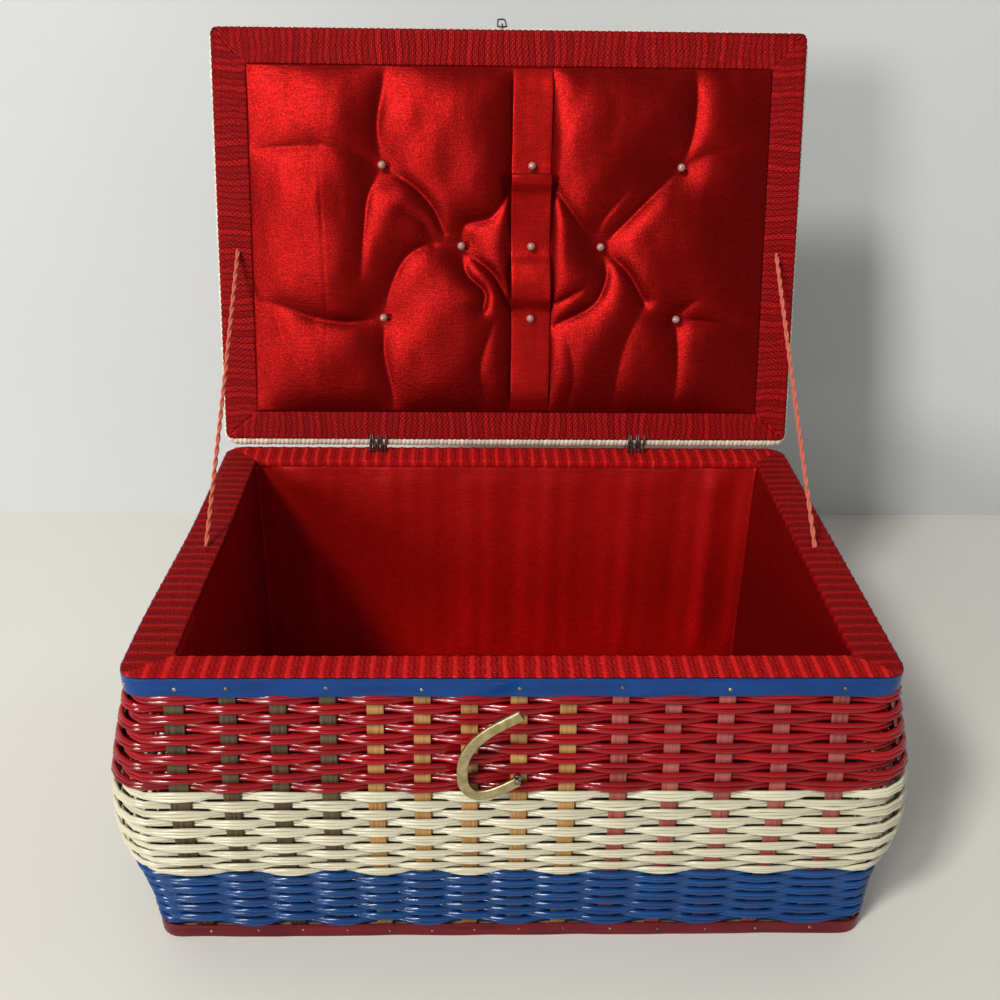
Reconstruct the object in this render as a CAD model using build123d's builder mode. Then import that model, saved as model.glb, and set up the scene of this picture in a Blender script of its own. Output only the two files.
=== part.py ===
"""Woven sewing basket with a hinged, padded lid, a turning brass hook and a wire latch loop.

Frame: millimetres, +Z up, -Y is the front. The origin is the centre of the underside of the base.
The lid stands open and leans back against its two stay cords.
"""

import os
from math import atan2, cos, degrees, pi, radians, sin, sqrt, tan

from build123d import *

# ---- Driving dimensions -------------------------------------------------------------------
# Basket shell
basket_width = 297.0  # over the rim band
basket_depth = 207.0  # over the rim band
basket_height = 135.0  # to the top of the rim band
corner_radius = 10.0  # of the rim band, in plan
box_corner_radius = 2.0  # the least radius of the liner's and the lining's corners
base_band_height = 6.5
rim_band_height = 9.0
band_thickness = 1.0  # of the rim and base bands
base_board_thickness = 5.0
seat_gap = 0.1  # between two pieces that lie against each other

# Weave: upright stakes, and courses that pass in front of one stake and behind the next
stake_count = 50
stake_width = 6.0
stake_thickness = 0.8
stake_top_setback = 5.0  # below the top of the rim band
strand_thickness = 1.3
weave_amplitude = 2.2  # from the wall's mid-surface to a strand's middle, at a stake
corner_bulge = 1.2  # how much further a strand stands out where it rounds a corner's stake
corner_reach = 1.3  # how far a strand stands out between the two stakes of a corner
course_gap = 0.15
white_bottom = 43.0
red_bottom = 87.0
blue_courses = 5
white_courses = 6
red_courses = 6
amber_left = -64.0  # the stakes between these two places across the basket are amber
amber_right = 30.0  # those to the left are brown, and those to the right are rose

# How far the wall bows out past the rim, and at what height
foot_bow = 4.6
foot_bow_height = 38.0
belly_bow = 10.8
belly_height = 64.0
shoulder_bow = 9.5
shoulder_height = 86.0

# Rim hoop, cardboard liner and padded lining
hoop_thickness = 3.0
liner_setback = 10.0  # from the rim band's outer face, at the sides and rear
front_liner_setback = 7.0
liner_thickness = 2.0
lining_thickness = 4.2
bottom_pad_thickness = 5.0
braid_thickness = 1.2
rim_braid_setback = 1.0  # from the rim band's outer face
rim_braid_turn_down = 4.0

# Lid
lid_width = 298.0
lid_overhang = 1.5  # past the rim, at the front
lid_lean = 16.0  # degrees past upright
lid_corner_radius = 7.5
border_radius = 3.4
lid_board_thickness = 2.0
lid_weave_thickness = 3.4  # over the ribs
lid_weave_ribs = 20
lid_rib_height = 1.4
lid_closed_gap = 0.8  # between the two braids when the lid is shut
lid_braid_setback = 1.2  # from the border's outer edge
lid_braid_width = 17.0
pad_margin_thickness = 1.8  # of the pad where the braid covers it
cushion_rise = 3.6  # above the pad's margin
cushion_slope = 9.0  # width of the cushion's sloping edge

# Ribbon and pearl-headed pins, which stand in three rows across the lid
ribbon_width = 20.0
ribbon_thickness = 0.6
ribbon_end_gap = 0.4  # from the cushion's edge
ribbon_offset = 11.2  # right of the lid's centre
tool_loop_rise = 9.0
lower_loop_rise = 4.5
upper_pin_row = 139.0  # along the lid, from the hinge
middle_pin_row = 99.8
lower_pin_row = 63.7
outer_pin_offset = 75.0  # from the ribbon's middle
inner_pin_offset = 35.3
pearl_radius = 2.2
pearl_sides = 8
pin_radius = 0.45
pin_sides = 6
pin_clearance = 0.1
loop_foot = 3.0  # of flat ribbon, from a pin to the start of a loop

# Hinges: turns of wire round the lid's border and through the rim
hinge_offset = 68.2  # from the basket's centre
hinge_turns = 2
hinge_turn_pitch = 7.4
hinge_wire = 1.1  # thickness of the wire
hinge_clearance = 0.5  # between the lid's border and the wire
hinge_slot_height = 4.5  # of the wire's slot, below the top of the rim band

# Stay cords
stay_thickness = 2.2
stay_offset = 137.5  # from the basket's centre
stay_lid_reach = 97.0  # along the lid, from the hinge
stay_rim_reach = 106.0  # along the rim, from the hinge
stay_end_gap = 1.8  # along the cord, from each braid to the cord's square end

# Hook
hook_width = 4.4
hook_thickness = 2.0
hook_foot_across = 17.9  # from the rivet to the foot's corner
hook_foot_drop = 8.0
hook_back_across = 26.6  # from the rivet to the back's upper corner
hook_back_rise = 17.9
hook_tip_across = 0.7  # from the rivet to the free end, the other way
hook_tip_rise = 32.6
hook_foot_radius = 9.0
hook_back_radius = 14.0
rivet_offset = -0.5  # right of the basket's centre
rivet_course = 1.3  # how many red courses are below the rivet's middle
rivet_radius = 1.2
rivet_head_radius = 1.9
rivet_head_thickness = 0.8
rivet_head_sides = 8
rivet_clearance = 0.05
washer_radius = 4.0
washer_thickness = 1.9

# Latch loop and its staple
latch_offset = -4.0  # from the lid's centre
latch_wire = 0.9
latch_loop_width = 4.6  # between the middles of the wire
latch_loop_length = 23.0  # from the pivot to the middle of the wire at the tip
latch_loop_chamfer = 1.3
latch_lean_back = 70.0  # degrees behind the lid's plane
latch_clearance = 0.15  # round the loop's bar as it turns
staple_depth = 3.0  # into the lid's border

# ---- Heights and insets of the basket's layers ----------------------------------------------
rim_bottom = basket_height - rim_band_height
rivet_height = red_bottom + rivet_course * (rim_bottom - red_bottom) / red_courses
stake_top = basket_height - stake_top_setback
wall_profile = (
    (0.0, 0.0),
    (foot_bow_height, foot_bow),
    (belly_height, belly_bow),
    (shoulder_height, shoulder_bow),
    (stake_top, 0.0),
)
wall_mid_inset = strand_thickness / 2 + weave_amplitude
stake_inner_inset = wall_mid_inset + stake_thickness / 2
hoop_inset = stake_inner_inset + seat_gap
hoop_inner_inset = hoop_inset + hoop_thickness
box_forward = liner_setback - front_liner_setback  # how far the box's front side stands forward
liner_inner_inset = liner_setback + liner_thickness
lining_inset = liner_inner_inset + seat_gap
lining_inner_inset = lining_inset + lining_thickness
turn_down_inset = lining_inner_inset + seat_gap
rim_braid_inner_inset = turn_down_inset + braid_thickness
liner_bottom = base_board_thickness + seat_gap
liner_floor = liner_bottom + liner_thickness
bottom_pad_bottom = liner_floor + seat_gap
box_top = basket_height - seat_gap
rim_braid_top = basket_height + braid_thickness

# ---- The lid's own frame: x across, y along the lid from the hinge, z towards its inner side
lid_braid_bottom = border_radius + seat_gap
lid_braid_top = lid_braid_bottom + braid_thickness
hinge_height = rim_braid_top + lid_closed_gap + lid_braid_top
hinge_y = (basket_depth - hoop_inner_inset) / 2
lid_front = basket_depth / 2 + lid_overhang + hinge_y
lid_plane = Plane(
    origin=(0, hinge_y, hinge_height),
    x_dir=(1, 0, 0),
    z_dir=(0, -cos(radians(lid_lean)), sin(radians(lid_lean))),
)
lid_depth = lid_front + border_radius
lid_middle = lid_front - lid_depth / 2
panel_inset = 2 * border_radius + seat_gap
cushion_inset = lid_braid_setback + lid_braid_width + seat_gap
pad_margin_top = lid_braid_bottom - seat_gap
pad_bottom = pad_margin_top - pad_margin_thickness
cushion_top = pad_margin_top + cushion_rise
lid_board_top = pad_bottom - seat_gap
lid_board_bottom = lid_board_top - lid_board_thickness
lid_weave_top = lid_board_bottom - seat_gap
ribbon_bottom = cushion_top + seat_gap
ribbon_top = ribbon_bottom + ribbon_thickness
hinge_middles = (-hinge_offset, hinge_offset)
hinge_reach = border_radius + hinge_clearance + hinge_wire / 2  # from the axis to the wire's middle
hinge_room = hinge_reach + hinge_wire / 2 + hinge_clearance
hinge_span = (hinge_turns - 1) * hinge_turn_pitch + hinge_wire + 2 * hinge_clearance


def wall_bow(height):
    """How far the wall stands out past the rim at a height."""
    for (low, low_bow), (high, high_bow) in zip(wall_profile, wall_profile[1:]):
        if height <= high:
            return low_bow + (high_bow - low_bow) * (height - low) / (high - low)
    return 0.0


def basket_outline(inset, mode=Mode.ADD):
    """The basket's plan, drawn in from the rim band's outer face."""
    RectangleRounded(
        basket_width - 2 * inset, basket_depth - 2 * inset, corner_radius - inset, mode=mode
    )


def box_outline(inset, mode=Mode.ADD):
    """The plan of the lined box, whose front side stands forward in the basket."""
    with Locations((0, -box_forward / 2)):
        RectangleRounded(
            basket_width - 2 * inset,
            basket_depth - 2 * inset + box_forward,
            max(corner_radius - inset, box_corner_radius),
            mode=mode,
        )


def box_room(inset, mode=Mode.ADD):
    """The square-cornered plan of the space inside the lining."""
    with Locations((0, -box_forward / 2)):
        Rectangle(
            basket_width - 2 * inset, basket_depth - 2 * inset + box_forward, mode=mode
        )


def basket_ring(outer_inset, inner_inset):
    """A wall in plan, between two insets."""
    basket_outline(outer_inset)
    basket_outline(inner_inset, mode=Mode.SUBTRACT)


def lid_outline(inset, mode=Mode.ADD):
    """The lid's plan, drawn in from the border's outer edge."""
    with Locations((0, lid_middle)):
        RectangleRounded(
            lid_width - 2 * inset,
            lid_depth - 2 * inset,
            max(lid_corner_radius - inset, border_radius / 2),
            mode=mode,
        )


def wire_loop(plane, points, thickness):
    """A flat closed loop of square wire, whose middle runs through the given points."""
    with BuildSketch(plane.offset(-thickness / 2)) as loop:
        with BuildLine():
            Polyline(*points, close=True)
        make_face()
        offset(amount=thickness / 2, kind=Kind.INTERSECTION, mode=Mode.REPLACE)
        offset(amount=-thickness, kind=Kind.INTERSECTION, mode=Mode.SUBTRACT)
    extrude(loop.sketch, amount=thickness)


def save(piece, name):
    """Labels a finished piece and writes it."""
    piece.part.label = name
    export_step(piece.part, f"parts/{name}.step")


os.makedirs("parts", exist_ok=True)

# ---- Base ---------------------------------------------------------------------------------
with BuildPart() as base_board:
    with BuildSketch():
        basket_outline(stake_inner_inset + seat_gap)
    extrude(amount=base_board_thickness)
save(base_board, "base_board")

with BuildPart() as base_band:
    with BuildSketch():
        basket_ring(0, band_thickness)
    extrude(amount=base_band_height)
save(base_band, "base_band")

# ---- Stakes -------------------------------------------------------------------------------
# The right half of the wall's mid-surface in plan, from the front's middle to the rear's
half_width = basket_width / 2 - wall_mid_inset
half_depth = basket_depth / 2 - wall_mid_inset
mid_radius = corner_radius - wall_mid_inset
with BuildLine() as half_wall:
    FilletPolyline(
        (0, -half_depth),
        (half_width, -half_depth),
        (half_width, half_depth),
        (0, half_depth),
        radius=mid_radius,
    )
wall_path = half_wall.wire()
half_count = stake_count // 2


def station(number):
    """A place on the wall's mid-surface, counted in stakes from the front's middle, and the way out."""
    share = abs(number) / half_count
    point = wall_path @ share
    along = wall_path % share
    side = -1 if number < 0 else 1
    return Vector(side * point.X, point.Y), Vector(side * along.Y, -along.X)


stake_numbers = range(1 - half_count, half_count + 1)
stake_stations = [station(number) for number in stake_numbers]

with BuildPart(mode=Mode.PRIVATE) as stake:
    with BuildSketch(Plane.XZ):
        with BuildLine():
            outer_side = [(bow + stake_thickness / 2, height) for height, bow in wall_profile]
            inner_side = [(bow - stake_thickness / 2, height) for height, bow in wall_profile]
            Polyline(*outer_side, *reversed(inner_side), close=True)
        make_face()
    extrude(amount=stake_width / 2, both=True)


def stake_places(left, right):
    """Where the stakes between two places across the basket stand, turned to face outwards."""
    return [
        Location((point.X, point.Y, 0), (0, 0, degrees(atan2(outward.Y, outward.X))))
        for point, outward in stake_stations
        if left <= point.X < right
    ]


# Faces forwards from the middle of the basket, on the rivet's axis
rivet_plane = Plane(origin=(rivet_offset, 0, rivet_height), x_dir=(1, 0, 0), z_dir=(0, -1, 0))


def rivet_hole():
    """Cuts the rivet's hole through the front wall."""
    with BuildSketch(rivet_plane) as hole:
        RegularPolygon(rivet_radius + seat_gap, rivet_head_sides, major_radius=False)
    extrude(hole.sketch, amount=basket_depth, mode=Mode.SUBTRACT)


with BuildPart() as stakes_brown:
    with Locations(stake_places(-basket_width, amber_left)):
        add(stake.part)
save(stakes_brown, "stakes_brown")

with BuildPart() as stakes_amber:
    with Locations(stake_places(amber_left, amber_right)):
        add(stake.part)
    rivet_hole()
save(stakes_amber, "stakes_amber")

with BuildPart() as stakes_rose:
    with Locations(stake_places(amber_right, basket_width)):
        add(stake.part)
save(stakes_rose, "stakes_rose")


# ---- Woven courses --------------------------------------------------------------------------
# A strand turns at every stake, and half-way between the two stakes at each corner
front_corner = half_width - mid_radius + pi * mid_radius / 4
corner_numbers = [
    side * (int(reach / wall_path.length * half_count) + 0.5)
    for side in (-1, 1)
    for reach in (front_corner, wall_path.length - front_corner)
]
turn_numbers = sorted([*stake_numbers, *corner_numbers])


def strand_path(bow, height, first_side):
    """A strand's middle: a closed zigzag from the outside of one stake to the inside of the next."""
    points = []
    for number in turn_numbers:
        point, outward = station(number)
        side = round(cos(pi * (number + first_side)))
        by_corner = any(abs(number - corner) == 0.5 for corner in corner_numbers)
        bulge = corner_reach if number in corner_numbers else corner_bulge if by_corner and side > 0 else 0
        reach = bow + side * weave_amplitude + bulge
        points.append(Vector(point.X, point.Y, height) + outward * reach)
    return points


def woven_band(bottom, top, courses):
    """A stack of ridged strands, each passing the stakes on the other side from the one below.

    A strand's flat back leans as the wall does.
    """
    pitch = (top - bottom) / courses
    half_height = (pitch - course_gap) / 2
    for course in range(courses):
        middle = bottom + (course + 0.5) * pitch
        points = strand_path(wall_bow(middle), middle, course)
        start = (points[0] + points[1]) / 2
        with BuildLine() as path:
            Polyline(start, *points[1:], points[0], close=True)
        bow_below = wall_bow(middle - half_height) - wall_bow(middle)
        bow_above = wall_bow(middle + half_height) - wall_bow(middle)
        section_plane = Plane(origin=start, x_dir=(0, 0, 1), z_dir=points[1] - points[0])
        with BuildSketch(section_plane) as section:
            with BuildLine():
                Polyline(
                    (-half_height, bow_below - strand_thickness / 2),
                    (0, strand_thickness / 2),
                    (half_height, bow_above - strand_thickness / 2),
                    close=True,
                )
            make_face()
        sweep(section.sketch, path=path.wire(), transition=Transition.RIGHT)


with BuildPart() as weave_blue:
    woven_band(base_band_height, white_bottom, blue_courses)
save(weave_blue, "weave_blue")

with BuildPart() as weave_white:
    woven_band(white_bottom, red_bottom, white_courses)
    rivet_hole()
save(weave_white, "weave_white")

with BuildPart() as weave_red:
    woven_band(red_bottom, rim_bottom, red_courses)
    rivet_hole()
save(weave_red, "weave_red")

# ---- Rim ----------------------------------------------------------------------------------
slot_height = basket_height - hinge_slot_height


def hinge_slots():
    """Cuts the slots that the hinge wires pass through, in the rear of the rim."""
    with BuildSketch(Plane.XZ.offset(-basket_depth / 2 + hoop_inner_inset + seat_gap)) as slots:
        with Locations(*[(middle, slot_height) for middle in hinge_middles]):
            Rectangle(hinge_span, hinge_wire + 2 * hinge_clearance)
    extrude(slots.sketch, amount=-2 * hoop_inner_inset, mode=Mode.SUBTRACT)


with BuildPart() as rim_hoop:
    with BuildSketch(Plane.XY.offset(rim_bottom)):
        basket_ring(hoop_inset, hoop_inner_inset)
    extrude(amount=rim_band_height)
    hinge_slots()
save(rim_hoop, "rim_hoop")

with BuildPart() as rim_band:
    with BuildSketch(Plane.XY.offset(rim_bottom)):
        basket_ring(0, band_thickness)
    extrude(amount=rim_band_height)
    hinge_slots()
save(rim_band, "rim_band")

# ---- Liner, lining and bottom pad -----------------------------------------------------------
with BuildPart() as liner:
    with BuildSketch(Plane.XY.offset(liner_bottom)):
        box_outline(liner_setback)
    extrude(amount=box_top - liner_bottom)
    with BuildSketch(Plane.XY.offset(liner_floor)):
        box_outline(liner_inner_inset)
    extrude(amount=basket_height, mode=Mode.SUBTRACT)
save(liner, "liner")

with BuildPart() as lining:
    with BuildSketch(Plane.XY.offset(bottom_pad_bottom)):
        box_outline(lining_inset)
        box_room(lining_inner_inset, mode=Mode.SUBTRACT)
    extrude(amount=box_top - bottom_pad_bottom)
save(lining, "lining")

with BuildPart() as bottom_pad:
    with BuildSketch(Plane.XY.offset(bottom_pad_bottom)):
        box_room(lining_inner_inset + seat_gap)
    extrude(amount=bottom_pad_thickness)
save(bottom_pad, "bottom_pad")

with BuildPart() as rim_braid:
    with BuildSketch(Plane.XY.offset(basket_height)):
        basket_outline(rim_braid_setback)
    extrude(amount=braid_thickness)
    with BuildSketch(Plane.XY.offset(basket_height - rim_braid_turn_down)):
        box_room(turn_down_inset)
    extrude(amount=rim_braid_turn_down)
    with BuildSketch(Plane.XY.offset(basket_height - rim_braid_turn_down)):
        box_room(rim_braid_inner_inset)
    extrude(amount=rim_braid_turn_down + braid_thickness, mode=Mode.SUBTRACT)
    with BuildSketch(Plane.XY.offset(basket_height)):
        with Locations(*[(middle, hinge_y) for middle in hinge_middles]):
            Rectangle(hinge_span, 2 * hinge_room)
    extrude(amount=braid_thickness, mode=Mode.SUBTRACT)
save(rim_braid, "rim_braid")

# ---- Hinge wires ----------------------------------------------------------------------------
octagon = tan(radians(22.5))
hinge_loop = [
    (hinge_y - hinge_reach, slot_height),
    (hinge_y - hinge_reach, hinge_height + hinge_reach * octagon),
    (hinge_y - hinge_reach * octagon, hinge_height + hinge_reach),
    (hinge_y + hinge_reach * octagon, hinge_height + hinge_reach),
    (hinge_y + hinge_reach, hinge_height + hinge_reach * octagon),
    (hinge_y + hinge_reach, slot_height),
]


def hinge_wires(middle):
    """Turns of wire, side by side, round the lid's rear border and through the rim."""
    for turn in range(hinge_turns):
        across = middle + (turn - (hinge_turns - 1) / 2) * hinge_turn_pitch
        wire_loop(Plane.YZ.offset(across), hinge_loop, hinge_wire)


with BuildPart() as hinge_left:
    hinge_wires(-hinge_offset)
save(hinge_left, "hinge_left")

with BuildPart() as hinge_right:
    hinge_wires(hinge_offset)
save(hinge_right, "hinge_right")


# ---- Lid ----------------------------------------------------------------------------------
def hinge_room_in_lid():
    """Cuts the lid's rear edge clear of the hinge wires."""
    with BuildSketch(lid_plane.offset(-lid_width)) as notches:
        with Locations(*[(middle, 0) for middle in hinge_middles]):
            Rectangle(hinge_span, 2 * hinge_room)
    extrude(notches.sketch, amount=2 * lid_width, mode=Mode.SUBTRACT)


# Along the lid and towards its inner side, seen from the right
lid_side_plane = Plane(origin=lid_plane.origin, x_dir=lid_plane.y_dir, z_dir=lid_plane.x_dir)
staple_eye = latch_wire * sqrt(2) / 2 + latch_clearance  # half the staple's opening
staple_half = staple_eye + latch_wire
pivot = lid_front + staple_eye + seat_gap

with BuildPart() as lid_border:
    with BuildSketch(lid_plane.offset(-border_radius)):
        lid_outline(0)
        lid_outline(2 * border_radius, mode=Mode.SUBTRACT)
    extrude(amount=2 * border_radius)
    chamfer(faces().filter_by(lid_plane).edges(), border_radius * (2 - sqrt(2)))
    with BuildSketch(lid_side_plane.offset(latch_offset - latch_wire / 2 - seat_gap)):
        leg_height = (staple_eye + staple_half) / 2
        with Locations((lid_front, leg_height), (lid_front, -leg_height)):
            Rectangle(2 * (staple_depth + seat_gap), latch_wire + 2 * seat_gap)
    extrude(amount=latch_wire + 2 * seat_gap, mode=Mode.SUBTRACT)
save(lid_border, "lid_border")

lid_rib_pitch = (lid_depth - 2 * panel_inset) / lid_weave_ribs
lid_weave_bottom = lid_weave_top - lid_weave_thickness
lid_weave_edge = panel_inset - border_radius  # along the lid, from the hinge
with BuildPart() as lid_weave:
    with BuildSketch(lid_plane.offset(lid_weave_top)):
        lid_outline(panel_inset)
    extrude(amount=-lid_weave_thickness)
    with BuildSketch(lid_side_plane.offset(-lid_width)) as grooves:
        with BuildLine():
            groove = []
            for rib in range(lid_weave_ribs):
                low = lid_weave_edge + rib * lid_rib_pitch
                groove += [(low, lid_weave_bottom + lid_rib_height), (low + lid_rib_pitch / 2, lid_weave_bottom)]
            Polyline(
                *groove,
                (lid_weave_edge + lid_weave_ribs * lid_rib_pitch, lid_weave_bottom + lid_rib_height),
                (lid_front, lid_weave_bottom - lid_rib_height),
                (lid_weave_edge, lid_weave_bottom - lid_rib_height),
                close=True,
            )
        make_face()
    extrude(grooves.sketch, amount=2 * lid_width, mode=Mode.SUBTRACT)
    hinge_room_in_lid()
save(lid_weave, "lid_weave")

with BuildPart() as lid_board:
    with BuildSketch(lid_plane.offset(lid_board_bottom)):
        lid_outline(panel_inset)
    extrude(amount=lid_board_thickness)
    hinge_room_in_lid()
save(lid_board, "lid_board")

pad_pin_places = [
    (ribbon_offset + side * offset_across, row)
    for side in (-1, 1)
    for offset_across, row in (
        (outer_pin_offset, upper_pin_row),
        (inner_pin_offset, middle_pin_row),
        (outer_pin_offset, lower_pin_row),
    )
]
ribbon_pin_places = [(ribbon_offset, row) for row in (upper_pin_row, middle_pin_row, lower_pin_row)]
pin_hole_radius = pin_radius + pin_clearance

with BuildPart() as lid_pad:
    with BuildSketch(lid_plane.offset(pad_bottom)):
        lid_outline(panel_inset)
    extrude(amount=pad_margin_thickness)
    for height, inset in ((pad_margin_top, 0), (cushion_top, cushion_slope)):
        with BuildSketch(lid_plane.offset(height)):
            with Locations((0, lid_middle)):
                Rectangle(
                    lid_width - 2 * (cushion_inset + inset), lid_depth - 2 * (cushion_inset + inset)
                )
    loft()
    with BuildSketch(lid_plane.offset(pad_bottom)):
        with Locations(*pad_pin_places, *ribbon_pin_places):
            RegularPolygon(pin_hole_radius, pin_sides)
    extrude(amount=cushion_top, mode=Mode.SUBTRACT)
    hinge_room_in_lid()
save(lid_pad, "lid_pad")

with BuildPart() as lid_braid:
    with BuildSketch(lid_plane.offset(lid_braid_bottom)):
        lid_outline(lid_braid_setback)
        with Locations((0, lid_middle)):
            Rectangle(
                lid_width - 2 * (lid_braid_setback + lid_braid_width),
                lid_depth - 2 * (lid_braid_setback + lid_braid_width),
                mode=Mode.SUBTRACT,
            )
    extrude(amount=braid_thickness)
    hinge_room_in_lid()
save(lid_braid, "lid_braid")

# ---- Ribbon and pins --------------------------------------------------------------------------
cushion_back = cushion_inset - border_radius
cushion_front = lid_front - cushion_inset
ribbon_end = pad_margin_top + seat_gap + ribbon_end_gap * cushion_rise / cushion_slope


with BuildPart() as ribbon:
    with BuildSketch(lid_side_plane.offset(ribbon_offset - ribbon_width / 2)):
        with BuildLine() as ribbon_path:
            Polyline(
                (cushion_back + ribbon_end_gap, ribbon_end),
                (cushion_back + cushion_slope, ribbon_bottom),
                (lower_pin_row + loop_foot, ribbon_bottom),
            )
            ThreePointArc(
                (lower_pin_row + loop_foot, ribbon_bottom),
                ((lower_pin_row + middle_pin_row) / 2, ribbon_bottom + lower_loop_rise),
                (middle_pin_row - loop_foot, ribbon_bottom),
            )
            Line((middle_pin_row - loop_foot, ribbon_bottom), (middle_pin_row + loop_foot, ribbon_bottom))
            ThreePointArc(
                (middle_pin_row + loop_foot, ribbon_bottom),
                ((middle_pin_row + upper_pin_row) / 2, ribbon_bottom + tool_loop_rise),
                (upper_pin_row - loop_foot, ribbon_bottom),
            )
            Polyline(
                (upper_pin_row - loop_foot, ribbon_bottom),
                (cushion_front - cushion_slope, ribbon_bottom),
                (cushion_front - ribbon_end_gap, ribbon_end),
            )
            offset(amount=ribbon_thickness, side=Side.LEFT)
        make_face()
    extrude(amount=ribbon_width)
    with BuildSketch(lid_plane):
        with Locations(*ribbon_pin_places):
            RegularPolygon(pin_hole_radius, pin_sides)
    extrude(amount=lid_width, mode=Mode.SUBTRACT)
save(ribbon, "ribbon")

pearl_half = pearl_radius * cos(pi / 8)
pearl_bevel = pearl_half * (2 - sqrt(2))


def pearl_pins(places, seat):
    """Pins pushed down to the lid's board, whose pearls rest on a seat."""
    with BuildSketch(lid_plane.offset(seat + seat_gap)) as pearls:
        with Locations(*places):
            RegularPolygon(pearl_radius, pearl_sides)
    extrude(pearls.sketch, amount=2 * pearl_half)
    chamfer(faces().filter_by(lid_plane).edges(), pearl_bevel)
    with BuildSketch(lid_plane.offset(pad_bottom)) as shafts:
        with Locations(*places):
            RegularPolygon(pin_radius, pin_sides)
    extrude(shafts.sketch, amount=seat + pearl_half - pad_bottom)


with BuildPart() as pad_pins:
    pearl_pins(pad_pin_places, cushion_top)
save(pad_pins, "pad_pins")

with BuildPart() as ribbon_pins:
    pearl_pins(ribbon_pin_places, ribbon_top)
save(ribbon_pins, "ribbon_pins")

# ---- Latch loop and staple --------------------------------------------------------------------
with BuildPart() as latch_staple:
    with BuildSketch(lid_side_plane.offset(latch_offset - latch_wire / 2)):
        with Locations((lid_front - staple_depth, 0)):
            Rectangle(
                staple_depth + pivot - lid_front + staple_half,
                2 * staple_half,
                align=(Align.MIN, Align.CENTER),
            )
            Rectangle(
                staple_depth + pivot - lid_front + staple_eye,
                2 * staple_eye,
                align=(Align.MIN, Align.CENTER),
                mode=Mode.SUBTRACT,
            )
    extrude(amount=latch_wire)
save(latch_staple, "latch_staple")

loop_direction = lid_plane.y_dir.rotate(Axis.X, -latch_lean_back)
latch_plane = Plane(
    origin=lid_plane.from_local_coords((latch_offset, pivot, 0)),
    x_dir=(1, 0, 0),
    z_dir=Vector(1, 0, 0).cross(loop_direction),
)
loop_half = latch_loop_width / 2
loop_corner = loop_half - latch_loop_chamfer
with BuildPart() as latch_loop:
    wire_loop(
        latch_plane,
        [
            (-loop_corner, 0),
            (loop_corner, 0),
            (loop_half, latch_loop_chamfer),
            (loop_half, latch_loop_length - latch_loop_chamfer),
            (loop_corner, latch_loop_length),
            (-loop_corner, latch_loop_length),
            (-loop_half, latch_loop_length - latch_loop_chamfer),
            (-loop_half, latch_loop_chamfer),
        ],
        latch_wire,
    )
save(latch_loop, "latch_loop")

# ---- Hook, rivet and washer -------------------------------------------------------------------
# Distances forwards from the middle of the basket, along the rivet's axis
wall_face = basket_depth / 2 + wall_bow(rivet_height - washer_radius)
wall_back = (
    basket_depth / 2 - strand_thickness - 2 * weave_amplitude + wall_bow(rivet_height + washer_radius)
)
washer_back = wall_face + seat_gap
hook_back = washer_back + washer_thickness + rivet_clearance
hook_front = hook_back + hook_thickness

with BuildPart() as hook:
    with BuildSketch(rivet_plane.offset(hook_back)):
        with BuildLine():
            FilletPolyline(
                (0, 0),
                (-hook_foot_across, -hook_foot_drop),
                (-hook_back_across, hook_back_rise),
                (hook_tip_across, hook_tip_rise),
                radius=(hook_foot_radius, hook_back_radius),
            )
            offset(amount=hook_width / 2)
        make_face()
        Circle(rivet_radius + rivet_clearance, mode=Mode.SUBTRACT)
    extrude(amount=hook_thickness)
save(hook, "hook")

with BuildPart() as hook_washer:
    with BuildSketch(rivet_plane.offset(washer_back)):
        RegularPolygon(washer_radius, rivet_head_sides)
        RegularPolygon(
            rivet_radius + seat_gap, rivet_head_sides, major_radius=False, mode=Mode.SUBTRACT
        )
    extrude(amount=washer_thickness)
save(hook_washer, "hook_washer")

with BuildPart() as hook_rivet:
    for back in (wall_back - seat_gap - rivet_head_thickness, hook_front + rivet_clearance):
        with BuildSketch(rivet_plane.offset(back)):
            RegularPolygon(rivet_head_radius, rivet_head_sides)
        extrude(amount=rivet_head_thickness)
    with BuildSketch(rivet_plane.offset(wall_back - seat_gap)):
        Circle(rivet_radius)
    extrude(amount=hook_front + rivet_clearance - wall_back + seat_gap)
save(hook_rivet, "hook_rivet")


# ---- Stay cords -------------------------------------------------------------------------------
def stay_cord(across):
    """A taut cord from the rim's braid up to the lid's braid."""
    foot = Vector(across, hinge_y - stay_rim_reach, rim_braid_top)
    head = lid_plane.from_local_coords(Vector(across, stay_lid_reach, lid_braid_top))
    along = (head - foot).normalized()
    with BuildSketch(Plane(origin=foot + along * stay_end_gap, z_dir=along)) as section:
        Circle(stay_thickness / 2)
    extrude(section.sketch, amount=(head - foot).length - 2 * stay_end_gap)


with BuildPart() as stay_cord_left:
    stay_cord(-stay_offset)
save(stay_cord_left, "stay_cord_left")

with BuildPart() as stay_cord_right:
    stay_cord(stay_offset)
save(stay_cord_right, "stay_cord_right")
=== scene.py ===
"""Dresses the woven sewing basket: weave, braid, satin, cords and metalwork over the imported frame."""

import logging
import math
from collections.abc import Callable
from dataclasses import dataclass
from enum import Enum

import bmesh
import bpy
import numpy as np
from mathutils import Matrix


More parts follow.
